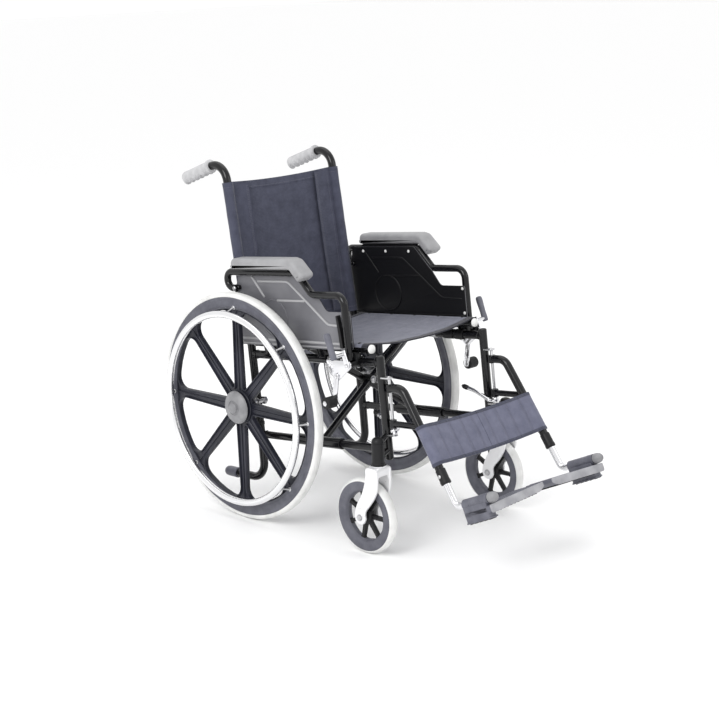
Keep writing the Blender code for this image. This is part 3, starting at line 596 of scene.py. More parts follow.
def side_frame(name, side):
    x = side * FRAME_X
    body = "chair_" + name
    tubes = part(name, "frame_tubes", "frame", body, "side_frame", "frame")
    tubes.tube([fr(x, POST_Y - TUBE_R + 0.002, UPPER_Z), fr(x, FRONT_Y, UPPER_Z)], TUBE_R, 28)
    tubes.tube([fr(x, FRONT_Y, UPPER_Z + 0.0165), fr(x, FRONT_Y, -0.113)], TUBE_R, 28)
    tubes.lathe([(0.0, 0.0024), (0.0080, 0.0018), (0.0104, 0.0002), (0.0104, -0.003), (0.0, -0.003)],
                fr(x, FRONT_Y, UPPER_Z + 0.0165), UP, 28)
    tubes.tube([fr(x, POST_Y - TUBE_R + 0.002, LOWER_Z), fr(x, FRONT_Y, LOWER_Z)], 0.0100, 28)
    stem_top = Vector((side * CASTER_X, CASTER_STEM_Y, HOUSING_Z[1]))
    stem_low = Vector((side * CASTER_X, CASTER_STEM_Y, HOUSING_Z[0]))
    for z, share in ((-0.052, 0.72), (-0.090, 0.22)):
        tubes.tube([fr(x, FRONT_Y, z), stem_low + (stem_top - stem_low) * share], 0.0082, 20)
    # weld beads where tubes meet
    for y, z, r in ((FRONT_Y, LOWER_Z, 0.0116), (POST_Y - TUBE_R, UPPER_Z, 0.0124),
                    (FRONT_Y, UPPER_Z, 0.0124), (POST_Y - TUBE_R, LOWER_Z, 0.0114)):
        away = -1 if y > -0.2 else 1
        bead = mirrored([(r - 0.003, -0.0016), (r - 0.0005, -0.0014), (r, 0.0)])
        tubes.lathe(bead, fr(x, y + away * 0.0112, z), REARWARD, 28)
    tubes.lathe([(0.0, 0.003), (0.008, 0.0022), (0.0104, 0.0), (0.0104, -0.004), (0.0, -0.004)],
                fr(x, FRONT_Y, -0.113), -UP, 28)
    for y in (-0.272, -0.070):
        cradle = loop([(-0.0145, UPPER_Z + 0.004 - RAIL_Z), (0.0145, UPPER_Z + 0.004 - RAIL_Z),
                       (0.0145, 0.003), (0.0118, 0.003)], [0.003, 0.003, 0.001, 0.0008], 4)
        dip = arc((0, 0), TUBE_R + 0.0006, 0, -180, 16)
        outline = cradle + dip + [(-0.0118, 0.003), (-0.0145, 0.003)]
        tubes.slab([outline], -0.014, 0.014, Matrix.Translation(fr(x, y, RAIL_Z)) @ DATUM.to_3x3().to_4x4()
                   @ FRONT_VIEW, 0.0008, 1)
    tubes.finish()

    housing = part(name, "caster_housing", "black", body, "side_frame", "frame")
    tall = HOUSING_Z[1] - HOUSING_Z[0]
    housing.lathe([(0.0, tall + 0.0005), (0.006, tall), (0.011, tall - 0.002), (0.0142, tall - 0.0055),
                   (0.0158, tall - 0.011), (0.0158, tall - 0.0125), (0.0150, tall - 0.0135),
                   (0.0150, tall - 0.0145), (0.0160, tall - 0.0155), (0.0160, 0.0065), (0.0172, 0.0050),
                   (0.0172, 0.0012), (0.0164, 0.0), (0.0086, 0.0), (0.0086, 0.054), (0.0, 0.054)], stem_low,
                  (0, 0, 1), 48)
    housing.finish()

    bits = part(name, "footrest_pin", "steel", body, "side_frame", "steel")
    bits.tube([fr(x, PIN_Y, -0.0535), fr(x, PIN_Y, 0.0955)], 0.0040, 20, 0.0008)
    for z in (-0.054, 0.090):
        bits.slab([loop([(-0.009, PIN_Y - 0.008), (0.009, PIN_Y - 0.008), (0.010, FRONT_Y + 0.004),
                         (-0.010, FRONT_Y + 0.004)], [0.008, 0.008, 0.001, 0.001], 5)], z, z + 0.004,
                  DATUM @ Matrix.Translation((x, 0, 0)), 0.0006, 1)
    bits.finish()

    socket = part(name, "armrest_socket", "black", body, "side_frame", "dark_plastic")
    at = side * ARM_X
    y0, y1 = ARM_POST_Y - 0.012, ARM_POST_Y + 0.022
    inner = sorted((side * SOCKET_X[0], at - side * 0.0101))
    outer = sorted((at + side * 0.0101, side * SOCKET_X[1]))
    socket.block((inner[0], y0, UPPER_Z - 0.006), (inner[1], y1, 0.154), DATUM, 0.0015)
    socket.block((outer[0], y0, UPPER_Z - 0.006), (outer[1], y1, 0.154), DATUM, 0.0015)
    whole = sorted((side * SOCKET_X[0], side * SOCKET_X[1]))
    socket.block((whole[0], y0, UPPER_Z - 0.006), (whole[1], y1, 0.1335), DATUM, 0.0015)
    socket.block((whole[0], ARM_POST_Y + 0.0103, UPPER_Z - 0.006), (whole[1], y1, 0.154), DATUM, 0.0015)
    clamp_band(socket, fr(x, ARM_POST_Y + 0.005, UPPER_Z), REARWARD, 0.0140, 0.030)
    socket.finish()
    screws = part(name, "frame_screws", "steel", body, "side_frame", "steel")
    for y in (ARM_POST_Y - 0.005, ARM_POST_Y + 0.015):
        screw(screws, fr(side * SOCKET_X[1], y, 0.140), (side, 0, 0), 0.0032, 0.0018)
    screw(screws, fr(x, ARM_POST_Y + 0.005, UPPER_Z - 0.0138), -UP, 0.0040)
    screw(screws, fr(x + side * 0.0105, -0.300, UPPER_Z), (side, 0, 0), 0.0048)
    clamp_band(screws, fr(x, -0.300, UPPER_Z), REARWARD, 0.0121, 0.016)
    screws.finish()


def hand_grip(name, body, start, axis):
    """A moulded grip, smooth on top, with finger hollows between pointed ridges underneath."""
    across = Vector((1, 0, 0))
    under = across.cross(axis).normalized()
    under = -under if under.z > 0 else under
    line = [(0.0, 0.0172), (0.0012, 0.0186), (0.0062, 0.0186), (0.0078, 0.0164)]
    line += [(0.0100 + 0.0014 * k, 0.0158) for k in range(72)]
    line += [(0.1120, 0.0155), (0.1145, 0.0147), (0.1165, 0.0128), (0.1178, 0.0092), (0.1182, 0.0045)]
    rings = []
    for z, r in line:
        ridge = 1 - abs(math.sin(math.pi * (z - 0.0100) / 0.0204)) if 0.0078 < z < 0.1144 else 0.0
        ring = []
        for turn in turns(44):
            low = max(0.0, math.cos(turn))
            size = r + low * (0.0052 * ridge - 0.0012 * (0.0078 < z < 0.1144))
            ring.append(start + axis * z + under * size * math.cos(turn) + across * size * math.sin(turn))
        rings.append(ring)
    grip = part(name, "hand_grip", "grip", body, "push_grip", "grey_plastic", sharp=50)
    grip.skin(rings)
    grip.finish()


def back_cane(name, side):
    x = side * FRAME_X
    body = "chair_" + name
    bend = (CANE_TOP[0] + 0.054 * math.tan(LEAN), CANE_TOP[1] + 0.054)
    handle = (bend[0] + 0.110 * math.cos(GRIP_DROP), bend[1] - 0.110 * math.sin(GRIP_DROP))
    corners = [fr(x, 0.150, -0.2065), fr(x, 0.011, -0.214), fr(x, POST_Y, -0.100), fr(x, POST_Y, CANE_BEND_Z),
               fr(x, *bend), fr(x, *handle)]
    cane = part(name, "cane", "frame", body, "back_cane", "frame")
    cane.tube(dense(rounded(corners, [0.048, 0.0, 0.0, 0.045], 14), 0.02), TUBE_R, 28)
    clamp_band(cane, fr(x, POST_Y, -0.060), UP, 0.0124, 0.010)
    cane.finish()
    axis = (fr(x, *handle) - fr(x, *bend)).normalized()
    start = fr(x, *bend) + axis * 0.056
    hand_grip(name, body, start, axis)
    tip_axis = (fr(x, 0.150, -0.2065) - fr(x, 0.100, -0.2092)).normalized()
    tip = part(name, "tip_rubber", "plate_dark", body, "tipping_tip", "black_rubber", sharp=50)
    tip.lathe([(0.0, 0.0215), (0.0055, 0.0208), (0.0098, 0.0185), (0.0124, 0.0145), (0.0134, 0.0090),
               (0.0138, 0.0025), (0.0138, -0.0230), (0.0142, -0.0245), (0.0142, -0.0280), (0.0132, -0.0295),
               (0.0, -0.0295)], fr(x, 0.150, -0.2065), tip_axis, 36)
    tip.finish()


# ---------------------------------------------------------------- rear wheel
def window(inner, outer, count, k, half_in, half_out, corner, foot):
    """One opening of a spoked wheel, with round corners."""
    middle = math.radians((k + 0.5) * 360 / count)
    inner_half = math.pi / count - math.asin(half_in / inner)
    outer_half = math.pi / count - math.asin(half_out / outer)

    def at(radius, turn):
        return (radius * math.cos(middle + turn), radius * math.sin(middle + turn))

    corners = [at(inner, -inner_half), at(outer, -outer_half), at(outer, -outer_half * 0.52),
               at(outer, -outer_half * 0.17), at(outer, outer_half * 0.17), at(outer, outer_half * 0.52),
               at(outer, outer_half), at(inner, inner_half)]
    return loop(corners, [foot, corner, 0.10, 0.10, 0.10, 0.10, corner, foot], 7)


def rear_wheel(name, side):
    centre = Vector((side * TYRE_X, AXLE_Y, WHEEL_R))
    out = Vector((side, 0, 0))
    body = "wheel_" + name
    view = upright_view(centre.x, AXLE_Y, WHEEL_R)
    spider = part(name, "wheel_spokes", "mag", body, "rear_wheel", "mag")
    count = 8
    edge = circle((0, 0), 0.2650, 128)
    holes = [window(0.052, 0.2580, count, k, 0.0165, 0.0115, 0.034, 0.010) for k in range(count)]
    spider.slab([edge] + holes, -0.0028, 0.0028, view, 0.0008, 1)
    for k in range(count):
        ring = window(0.0488, 0.2606, count, k, 0.0133, 0.0085, 0.0366, 0.0125)
        spider.slab([ring, holes[k]], -0.0068, 0.0068, view, 0.0006, 1)
    spider.lathe([(0.0070, -0.0245), (0.0200, -0.0245), (0.0220, -0.0225), (0.0235, -0.0120),
                  (0.0330, -0.0095), (0.0440, -0.0085), (0.0455, -0.0065), (0.0455, 0.0065), (0.0440, 0.0085),
                  (0.0350, 0.0100), (0.0335, 0.0120), (0.0330, 0.0155), (0.0320, 0.0165), (0.0070, 0.0165),
                  (0.0070, -0.0245)], centre, out, 72)
    for k in range(count):
        turn = 2 * math.pi * k / count
        ray = Vector((0, -math.cos(turn), math.sin(turn)))
        base = Matrix((ray, out.cross(ray), out)).transposed().to_4x4()
        spider.block((0.040, -0.0016, -0.0055), (0.255, 0.0016, 0.0055), Matrix.Translation(centre) @ base,
                     0.0006, 1)
    spider.finish()

    rim = part(name, "wheel_rim", "rim", body, "rear_wheel", "mag", sharp=40)
    half = [(0.2615, 0.0068), (0.2640, 0.0080), (0.2655, 0.0095), (0.2672, 0.0110), (0.2720, 0.0116),
            (0.2770, 0.0104), (0.2830, 0.0100), (0.2862, 0.0112), (0.2885, 0.0122), (0.2912, 0.0122),
            (0.2925, 0.0112), (0.2925, 0.0)]
    rim.lathe(mirrored(half), centre, out, 160)
    rim.finish()

    tyre = part(name, "wheel_tyre", "tyre", body, "rear_tyre", "tyre", sharp=50)
    half = [(0.2929, 0.0118), (0.2950, 0.0124), (0.2975, 0.0125), (0.2998, 0.0120), (0.3008, 0.0111),
            (0.3012, 0.0114), (0.3028, 0.0100), (0.3040, 0.0077), (0.3045, 0.0056), (0.3039, 0.0051),
            (0.3046, 0.0045), (0.3049, 0.0018), (0.3043, 0.0012), (0.3043, 0.0)]
    tyre.lathe(mirrored(half), centre, out, 176)
    tyre.finish()

    hand = part(name, "hand_hoop", "handrim", body, "handrim", "chrome", sharp=50)
    hoop_centre = Vector((side * HANDRIM_X, AXLE_Y, WHEEL_R))
    section = [(HANDRIM_R + 0.0093 * math.cos(a), 0.0093 * math.sin(a)) for a in turns(20)]
    hand.lathe(section + [section[0]], hoop_centre, out, 160)
    hand.finish()
    lugs = part(name, "hand_hoop_lugs", "steel", body, "handrim", "chrome", sharp=50)
    for k in range(count):
        turn = math.radians(45 * k)
        ray = Vector((0, math.cos(turn), math.sin(turn)))
        low = centre + out * 0.0095 + ray * 0.2665
        high = hoop_centre + ray * 0.2560
        lugs.tube([low, low.lerp(high, 0.4), low.lerp(high, 0.7), high], [0.0042, 0.0030, 0.0028, 0.0034], 16)
        lugs.lathe([(0.0, 0.0034), (0.0040, 0.0030), (0.0056, 0.0016), (0.0060, 0.0), (0.0, 0.0)],
                   low + out * 0.0005, out, 24)
    lugs.finish()

    cap = part(name, "wheel_cap", "light_grey", body, "hub_cap", "grey_plastic", sharp=30)
    cap.lathe([(0.0, 0.0168), (0.0090, 0.0166), (0.0130, 0.0158), (0.0148, 0.0140), (0.0152, 0.0118),
               (0.0172, 0.0112), (0.0180, 0.0098), (0.0190, 0.0098), (0.0198, 0.0112), (0.0280, 0.0104),
               (0.0345, 0.0088), (0.0400, 0.0064), (0.0432, 0.0030), (0.0442, 0.0003), (0.0, 0.0003)],
              centre + out * 0.0164, out, 96)
    cap.finish()

    axle = part(name, "axle", "steel", "chair_" + name, "rear_axle", "steel")
    axle.tube([(side * 0.172, AXLE_Y, WHEEL_R), (side * (TYRE_X + 0.013), AXLE_Y, WHEEL_R)], 0.0059, 20)
    axle.lathe([(0.0, 0.0), (0.0130, 0.0), (0.0138, 0.001), (0.0138, 0.003), (0.0112, 0.0045),
                (0.0112, 0.0280), (0.0, 0.0280)], (side * (FRAME_X + TUBE_R + 0.0006), AXLE_Y, WHEEL_R), out,
               36)
    nut(axle, (side * (FRAME_X - TUBE_R - 0.0006), AXLE_Y, WHEEL_R), -out, 0.0112, 0.0095)
    axle.finish()


# ---------------------------------------------------------------- caster
def caster(name, side):
    x = side * CASTER_X
    out = Vector((side, 0, 0))
    stem = Vector((x, CASTER_STEM_Y, 0))
    centre = Vector((x, CASTER_STEM_Y + CASTER_TRAIL, CASTER_R))
    body = "caster_fork_" + name
    fork = part(name, "fork_cast", "fork", body, "caster_fork", "fork", sharp=50)
    y = CASTER_STEM_Y
    line = [(y - 0.0150, 0.2290), (y - 0.0185, 0.2150), (y - 0.0185, 0.1920), (y - 0.0120, 0.1640),
            (y + 0.0060, 0.1370), (centre.y - 0.0190, 0.1130), (centre.y - 0.0180, 0.0930),
            (centre.y - 0.0110, 0.0815), (centre.y, 0.0780), (centre.y + 0.0120, 0.0820),
            (centre.y + 0.0185, 0.0940), (centre.y + 0.0175, 0.1090), (centre.y + 0.0080, 0.1330),
            (y + 0.0380, 0.1560), (y + 0.0280, 0.1800), (y + 0.0215, 0.2050), (y + 0.0180, 0.2290)]
    outline = [(p.x, p.y) for p in smooth_line([(a, b, 0) for a, b in ahead(line)], 5, True)]
    hole = circle((-centre.y, centre.z), 0.0046, 16)
    for near in (0.0192, -0.0268):
        fork.slab([outline, hole], near, near + 0.0076, upright_view(x) @ Matrix.Scale(-side, 4, (0, 0, 1)),
                  0.0026, 3)
    arch = loop([(-0.0258, 0.200), (-0.0258, 0.2265), (-0.014, 0.2322), (0.014, 0.2322), (0.0258, 0.2265),
                 (0.0258, 0.200), (0.0180, 0.198), (0.0150, 0.2085), (-0.0150, 0.2085), (-0.0180, 0.198)],
                [0.002, 0.010, 0.008, 0.008, 0.010, 0.002, 0.002, 0.006, 0.006, 0.002], 6)
    fork.slab([arch], -0.0178, 0.0162, Matrix.Translation((x, y, 0)) @ FRONT_VIEW, 0.0028, 3)
    fork.finish()
    bearing = part(name, "fork_bearing", "chrome", body, "caster_fork", "steel", sharp=40)
    bearing.lathe([(0.0, 0.2300), (0.0165, 0.2300), (0.0172, 0.2308), (0.0172, 0.2318), (0.0202, 0.2322),
                   (0.0208, 0.2330), (0.0208, 0.2347), (0.0200, 0.2355), (0.0076, 0.2355), (0.0076, 0.2850),
                   (0.0, 0.2850)], stem, (0, 0, 1), 48)
    bearing.finish()

    body = "caster_wheel_" + name
    hub = part(name, "caster_spokes", "black", body, "caster_wheel", "mag", sharp=40)
    view = upright_view(x, centre.y, centre.z)
    edge = circle((0, 0), 0.0655, 84)
    holes = [window(0.0205, 0.0630, 7, k, 0.0056, 0.0044, 0.0085, 0.0035) for k in range(7)]
    hub.slab([edge] + holes, -0.0052, 0.0052, view, 0.0010, 2)
    half = [(0.0046, -0.0165), (0.0095, -0.0165), (0.0110, -0.0155), (0.0125, -0.0100), (0.0190, -0.0075),
            (0.0205, -0.0055)]
    hub.lathe(mirrored(half), centre, out, 48)
    hub.finish()
    rim = part(name, "caster_rim", "rim", body, "caster_wheel", "mag", sharp=40)
    half = [(0.0612, 0.0052), (0.0628, 0.0070), (0.0645, 0.0098), (0.0665, 0.0118), (0.0720, 0.0130),
            (0.0800, 0.0142), (0.0868, 0.0146), (0.0882, 0.0142), (0.0888, 0.0134), (0.0886, 0.0127),
            (0.0780, 0.0127), (0.0780, 0.0)]
    rim.lathe(mirrored(half), centre, out, 112)
    rim.finish()
    tyre = part(name, "caster_tread", "tyre", body, "caster_tyre", "tyre", sharp=50)
    half = [(0.0784, 0.0122), (0.0887, 0.0122), (0.0892, 0.0136), (0.0905, 0.0135), (0.0925, 0.0120),
            (0.0945, 0.0090), (0.0957, 0.0055), (0.0964, 0.0020), (0.0965, 0.0)]
    tyre.lathe(mirrored(half), centre, out, 128)
    tyre.finish()
    bolt = part(name, "caster_bolt", "steel", "caster_fork_" + name, "caster_axle", "steel")
    bolt.tube([centre - out * 0.0290, centre + out * 0.0290], 0.0040, 16)
    bolt.lathe([(0.0, 0.0), (0.0088, 0.0), (0.0088, 0.0010), (0.0, 0.0010)], centre + out * 0.0268, out, 28)
    bolt.lathe([(0.0, 0.0), (0.0088, 0.0), (0.0088, 0.0010), (0.0, 0.0010)], centre - out * 0.0268, -out, 28)
    nut(bolt, centre + out * 0.0278, out, 0.0074, 0.0040)
    nut(bolt, centre - out * 0.0278, -out, 0.0074, 0.0040)
    bolt.finish()


# ---------------------------------------------------------------- cross brace
def brace(label, low_side, y):
    low = fr(low_side * FRAME_X, y, LOWER_Z)
    high = fr(-low_side * FRAME_X, y, RAIL_Z)
    body = "brace_" + label
    bar = Piece("cross_bar_" + label, "frame", body, ["brace_bar_" + label], "frame")
    way = (high - low).normalized()
    bar.tube([low + way * 0.012, high - way * 0.006], 0.0095, 28)
    bar.lathe([(0.0107, 0.0), (0.0138, 0.0), (0.0145, 0.0008), (0.0145, 0.1692), (0.0138, 0.1700),
               (0.0107, 0.1700), (0.0107, 0.0)], fr(low_side * FRAME_X, -0.305, LOWER_Z), REARWARD, 36)
    bar.tube([fr(-low_side * FRAME_X, -0.446, RAIL_Z), fr(-low_side * FRAME_X, -0.014, RAIL_Z)], TUBE_R, 28)
    bead_r = 0.0112
    for spot in (low + way * 0.0135, high - way * 0.0105):
        bead = mirrored([(bead_r - 0.004, -0.002), (bead_r - 0.0006, -0.0015), (bead_r, 0.0)])
        bar.lathe(bead, spot, way, 28)
    bar.finish()
    middle = fr(0, y, (LOWER_Z + RAIL_Z) / 2)
    boss = Piece("cross_boss_" + label, "black", body, ["brace_bar_" + label], "dark_plastic")
    boss.lathe(mirrored([(0.0045, -0.0099), (0.0118, -0.0099), (0.0128, -0.0090)]), middle, REARWARD, 32)
    boss.finish()
    caps = Piece("rail_caps_" + label, "tyre", body, ["brace_bar_" + label], "grey_plastic", sharp=60)
    for end, way in ((-0.446, -1), (-0.014, 1)):
        caps.lathe([(0.0, 0.0062), (0.0035, 0.0058), (0.0070, 0.0044), (0.0095, 0.0024), (0.0112, 0.0006),
                    (0.0112, -0.0030), (0.0, -0.0030)], fr(-low_side * FRAME_X, end, RAIL_Z), REARWARD * way,
                   32)
    caps.finish()


def centre_bolt():
    middle_z = (LOWER_Z + RAIL_Z) / 2
    bolt = Piece("cross_bolt", "steel", "brace_a", ["brace_centre_bolt"], "steel")
    front, back = BRACE_Y[1] - 0.0125, BRACE_Y[0] + 0.0125
    bolt.tube([fr(0, front, middle_z), fr(0, back, middle_z)], 0.0040, 16)
    bolt.lathe([(0.0, 0.0), (0.0098, 0.0), (0.0098, 0.0012), (0.0, 0.0012)], fr(0, front + 0.0012, middle_z),
               -REARWARD, 28)
    screw(bolt, fr(0, front, middle_z), -REARWARD, 0.0080, 0.0046)
    nut(bolt, fr(0, back, middle_z), REARWARD, 0.0080, 0.0040)
    bolt.finish()


# ---------------------------------------------------------------- upholstery
def hem_spans(ends, width, over):
    """Where the two hems of a sheet lie: each as wide as width, and standing a little over the edge."""
    return ((ends[0] - over, ends[0] + width), (ends[1] - width, ends[1] + over))


def grid(point, us, rows):
    """Rows of points for shell_of, from a function of two places on the sheet."""
    return [[point(u, v) for u in us] for v in rows]


def shell_of(name, material, rows, thick, body=None, replaces=(), slot="nylon", close=False):
    """A closed sheet of the given thickness about a grid of points."""
    height, width = len(rows), len(rows[0])
    verts = [v for row in rows for v in row]
    faces = []
    for j in range(height if close else height - 1):
        for i in range(width - 1):
            a, b = j * width + i, ((j + 1) % height) * width + i
            faces.append((a, a + 1, b + 1, b))
    mesh = bpy.data.meshes.new(name)
    mesh.from_pydata([tuple(v) for v in verts], [], faces)
    obj = bpy.data.objects.new(name, mesh)
    bpy.context.scene.collection.objects.link(obj)
    solid = obj.modifiers.new("thick", "SOLIDIFY")
    solid.thickness = thick
    solid.offset = 0
    solid.use_even_offset = True
    bpy.context.view_layer.update()
    made = bpy.data.meshes.new_from_object(obj.evaluated_get(bpy.context.evaluated_depsgraph_get()))
    bpy.data.objects.remove(obj, do_unlink=True)
    piece = Piece(name, material, body, replaces, slot, sharp=50)
    shape = bmesh.new()
    shape.from_mesh(made)
    piece.mesh(shape)
    return piece.finish()


def stitch_row(piece, path, gap=0.0046, length=0.0031, radius=0.00042):
    """Short raised stitches along a path."""
    path = [Vector(p) for p in path]
    far, travelled = 0.0, 0.0
    for a, b in zip(path, path[1:]):
        size = (b - a).length
        while far < travelled + size:
            at = a.lerp(b, (far - travelled) / size)
            way = (b - a).normalized()
            piece.tube([at, at + way * length * 0.5, at + way * length], [radius * 0.7, radius, radius * 0.7],
                       6)
            far += gap
        travelled += size


SEAT_Y = (-0.440, -0.022)
SEAT_R = 0.0125


def seat_sag(y):
    """How far the seat's middle hangs below its rails."""
    t = (y - SEAT_Y[0]) / (SEAT_Y[1] - SEAT_Y[0])
    return 0.0085 + 0.0075 * (1 - t) ** 2 + 0.0015 * math.sin(6.3 * t)


def seat_point(u, y, lift=0.0):
    """u from -1.3 to 1.3: between the rails up to 1, then round the rail's top."""
    sign = 1 if u >= 0 else -1
    if abs(u) <= 1:
        x = u * (FRAME_X - 0.004)
        sag = seat_sag(y) * (1 - abs(u) ** 2.4)
        ripple = 0.0012 * noise.noise(Vector((x * 22, y * 9, 1.7))) * (1 - abs(u) ** 4)
        return fr(x, y, RAIL_Z + SEAT_R - 0.0004 - sag + ripple + lift)
    turn = math.radians(105 - (abs(u) - 1) / 0.3 * 82)
    r = SEAT_R + lift
    return fr(sign * (FRAME_X + r * math.cos(turn)), y, RAIL_Z + r * math.sin(turn))


def seat():
    us = [-1.3 + 0.04 * k for k in range(8)] + spread(-0.985, 0.985, 60) + [1.02 + 0.04 * k for k in range(8)]
    ys = spread(*SEAT_Y, 56)
    start, end = fr(-0.17, -0.2, RAIL_Z), fr(0.17, -0.2, RAIL_Z)
    sling = shell_of("seat_fabric", "nylon", grid(seat_point, us, ys), 0.0016, None, ["seat_sling"])
    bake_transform(sling)
    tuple(start)
    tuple(end)
    for k, (a, b) in enumerate(hem_spans(SEAT_Y, 0.018, 0.0015)):
        ends = spread(a, b, 6)
        hem = shell_of("seat_hem_%d" % k, "webbing", grid(seat_point, us, ends), 0.0036, None,
                       ["seat_sling"])
        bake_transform(hem)
        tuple(start)
        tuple(end)
    thread = Piece("seat_thread", "thread", None, ["seat_sling"], "nylon", sharp=60)
    for u in (-0.93, 0.93, -0.965, 0.965):
        stitch_row(thread, [seat_point(u, y, 0.0009) for y in ys])
    line = spread(-0.98, 0.98, 60)
    for y in (SEAT_Y[0] + 0.0150, SEAT_Y[1] - 0.0150):
        stitch_row(thread, [seat_point(u, y, 0.0019) for u in line])
    for y in (SEAT_Y[0] + 0.0235, SEAT_Y[0] + 0.150, SEAT_Y[1] - 0.110):
        stitch_row(thread, [seat_point(u, y, 0.0009) for u in line])
    thread = thread.finish()
    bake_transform(thread)
    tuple(start)
    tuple(end)
    for label, side in (("a", -1), ("b", 1)):
        heads = Piece("seat_screws_" + label, "black", "brace_" + label, ["seat_sling"], "steel")
        for k in range(5):
            y = SEAT_Y[0] + 0.035 + 0.087 * k
            screw(heads, fr(side * FRAME_X, y, RAIL_Z + SEAT_R + 0.0006), UP, 0.0046, 0.0020)
        heads.finish()


CANE = DATUM @ Matrix.Translation((0, POST_Y, CANE_BEND_Z)) @ Matrix.Rotation(-LEAN, 4, "X")
BACK_S = (0.030, 0.434)
BACK_EDGE = 0.180


def back_point(x, s, lift=0.0):
    """The back's middle plane between the canes, billowing rearwards."""
    t = (s - BACK_S[0]) / (BACK_S[1] - BACK_S[0])
    u = x / 0.181
    depth = (0.010 + 0.006 * math.sin(math.pi * min(1, t * 1.05))) * (1 - abs(u) ** 2.2)
    depth += 0.0014 * noise.noise(Vector((x * 17, s * 8, 4.2))) * (1 - u ** 4)
    drop = 0.006 * (1 - u * u) * (1 if t > 0.5 else -0.4) * abs(t - 0.5) * 2
    return CANE @ Vector((x, 0.0035 + depth - lift, s - drop))


def back():
    xs = spread(-BACK_EDGE, BACK_EDGE, 64)
    ss = spread(*BACK_S, 56)

    def flatten(piece):
        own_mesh(piece)
        return piece

    panel = shell_of("back_fabric", "nylon_back", grid(back_point, xs, ss), 0.0018, "chair_left",
                     ["back_sling"])
    flatten(panel)
    for k, (a, b) in enumerate(hem_spans(BACK_S, 0.020, 0.001)):
        hem = shell_of("back_hem_%d" % k, "nylon_back", grid(back_point, xs, spread(a, b, 6)),
                       0.0038, "chair_left", ["back_sling"])
        flatten(hem)
    for k, sign in enumerate((-1, 1)):
        flap = shell_of("back_flap_%d" % k, "nylon_back",
                        [[back_point(sign * (BACK_EDGE - 0.0600 * t), s + 0.0035 * t, 0.0016 + 0.0080 * t * t)
                          for t in spread(0, 1, 16)] for s in ss[1:-1]], 0.0014, "chair_left", ["back_sling"])
        flatten(flap)
    thread = Piece("back_thread", "thread", "chair_left", ["back_sling"], "nylon", sharp=60)
    for s in (BACK_S[0] + 0.016, BACK_S[1] - 0.016):
        for lift in (0.0019, -0.0019):
            stitch_row(thread, [back_point(x, s, lift) for x in xs if abs(x) < 0.170])
    for sign in (-1, 1):
        for x, lift in ((0.1245, 0.0092), (0.1280, 0.0083), (0.1690, 0.0025)):
            stitch_row(thread, [back_point(sign * x, s + 0.003, lift) for s in ss[2:-2]])
    thread = thread.finish()
    flatten(thread)
    for name, side in SIDES.items():
        round_cane = turns(28)
        rows = []
        for turn in round_cane:
            row = []
            for s in ss:
                r = 0.0131 + 0.0005 * noise.noise(Vector((math.cos(turn) * 1.5,
                                                          math.sin(turn) * 1.5 + side * 9, s * 30)))
                r += 0.0006 * math.exp(-((s - BACK_S[0]) / 0.012) ** 2) + 0.0006 * math.exp(-((s - BACK_S[1])
                                                                                              / 0.012) ** 2)
                row.append(CANE @ Vector((side * FRAME_X + r * math.cos(turn), r * math.sin(turn), s)))
            rows.append(row)
        shell_of("back_sleeve_" + name, "nylon_back", rows, 0.0014, "chair_" + name, ["back_sling"],
                 close=True)
        seam = Piece("sleeve_thread_" + name, "thread", "chair_" + name, ["back_sling"], "nylon", sharp=60)
        for s in (BACK_S[0] + 0.013, BACK_S[1] - 0.013):
            ring = [CANE @ Vector((side * FRAME_X + 0.0142 * math.cos(t), 0.0142 * math.sin(t), s))
                    for t in round_cane + round_cane[:1]]
            stitch_row(seam, ring)
        seam.finish()


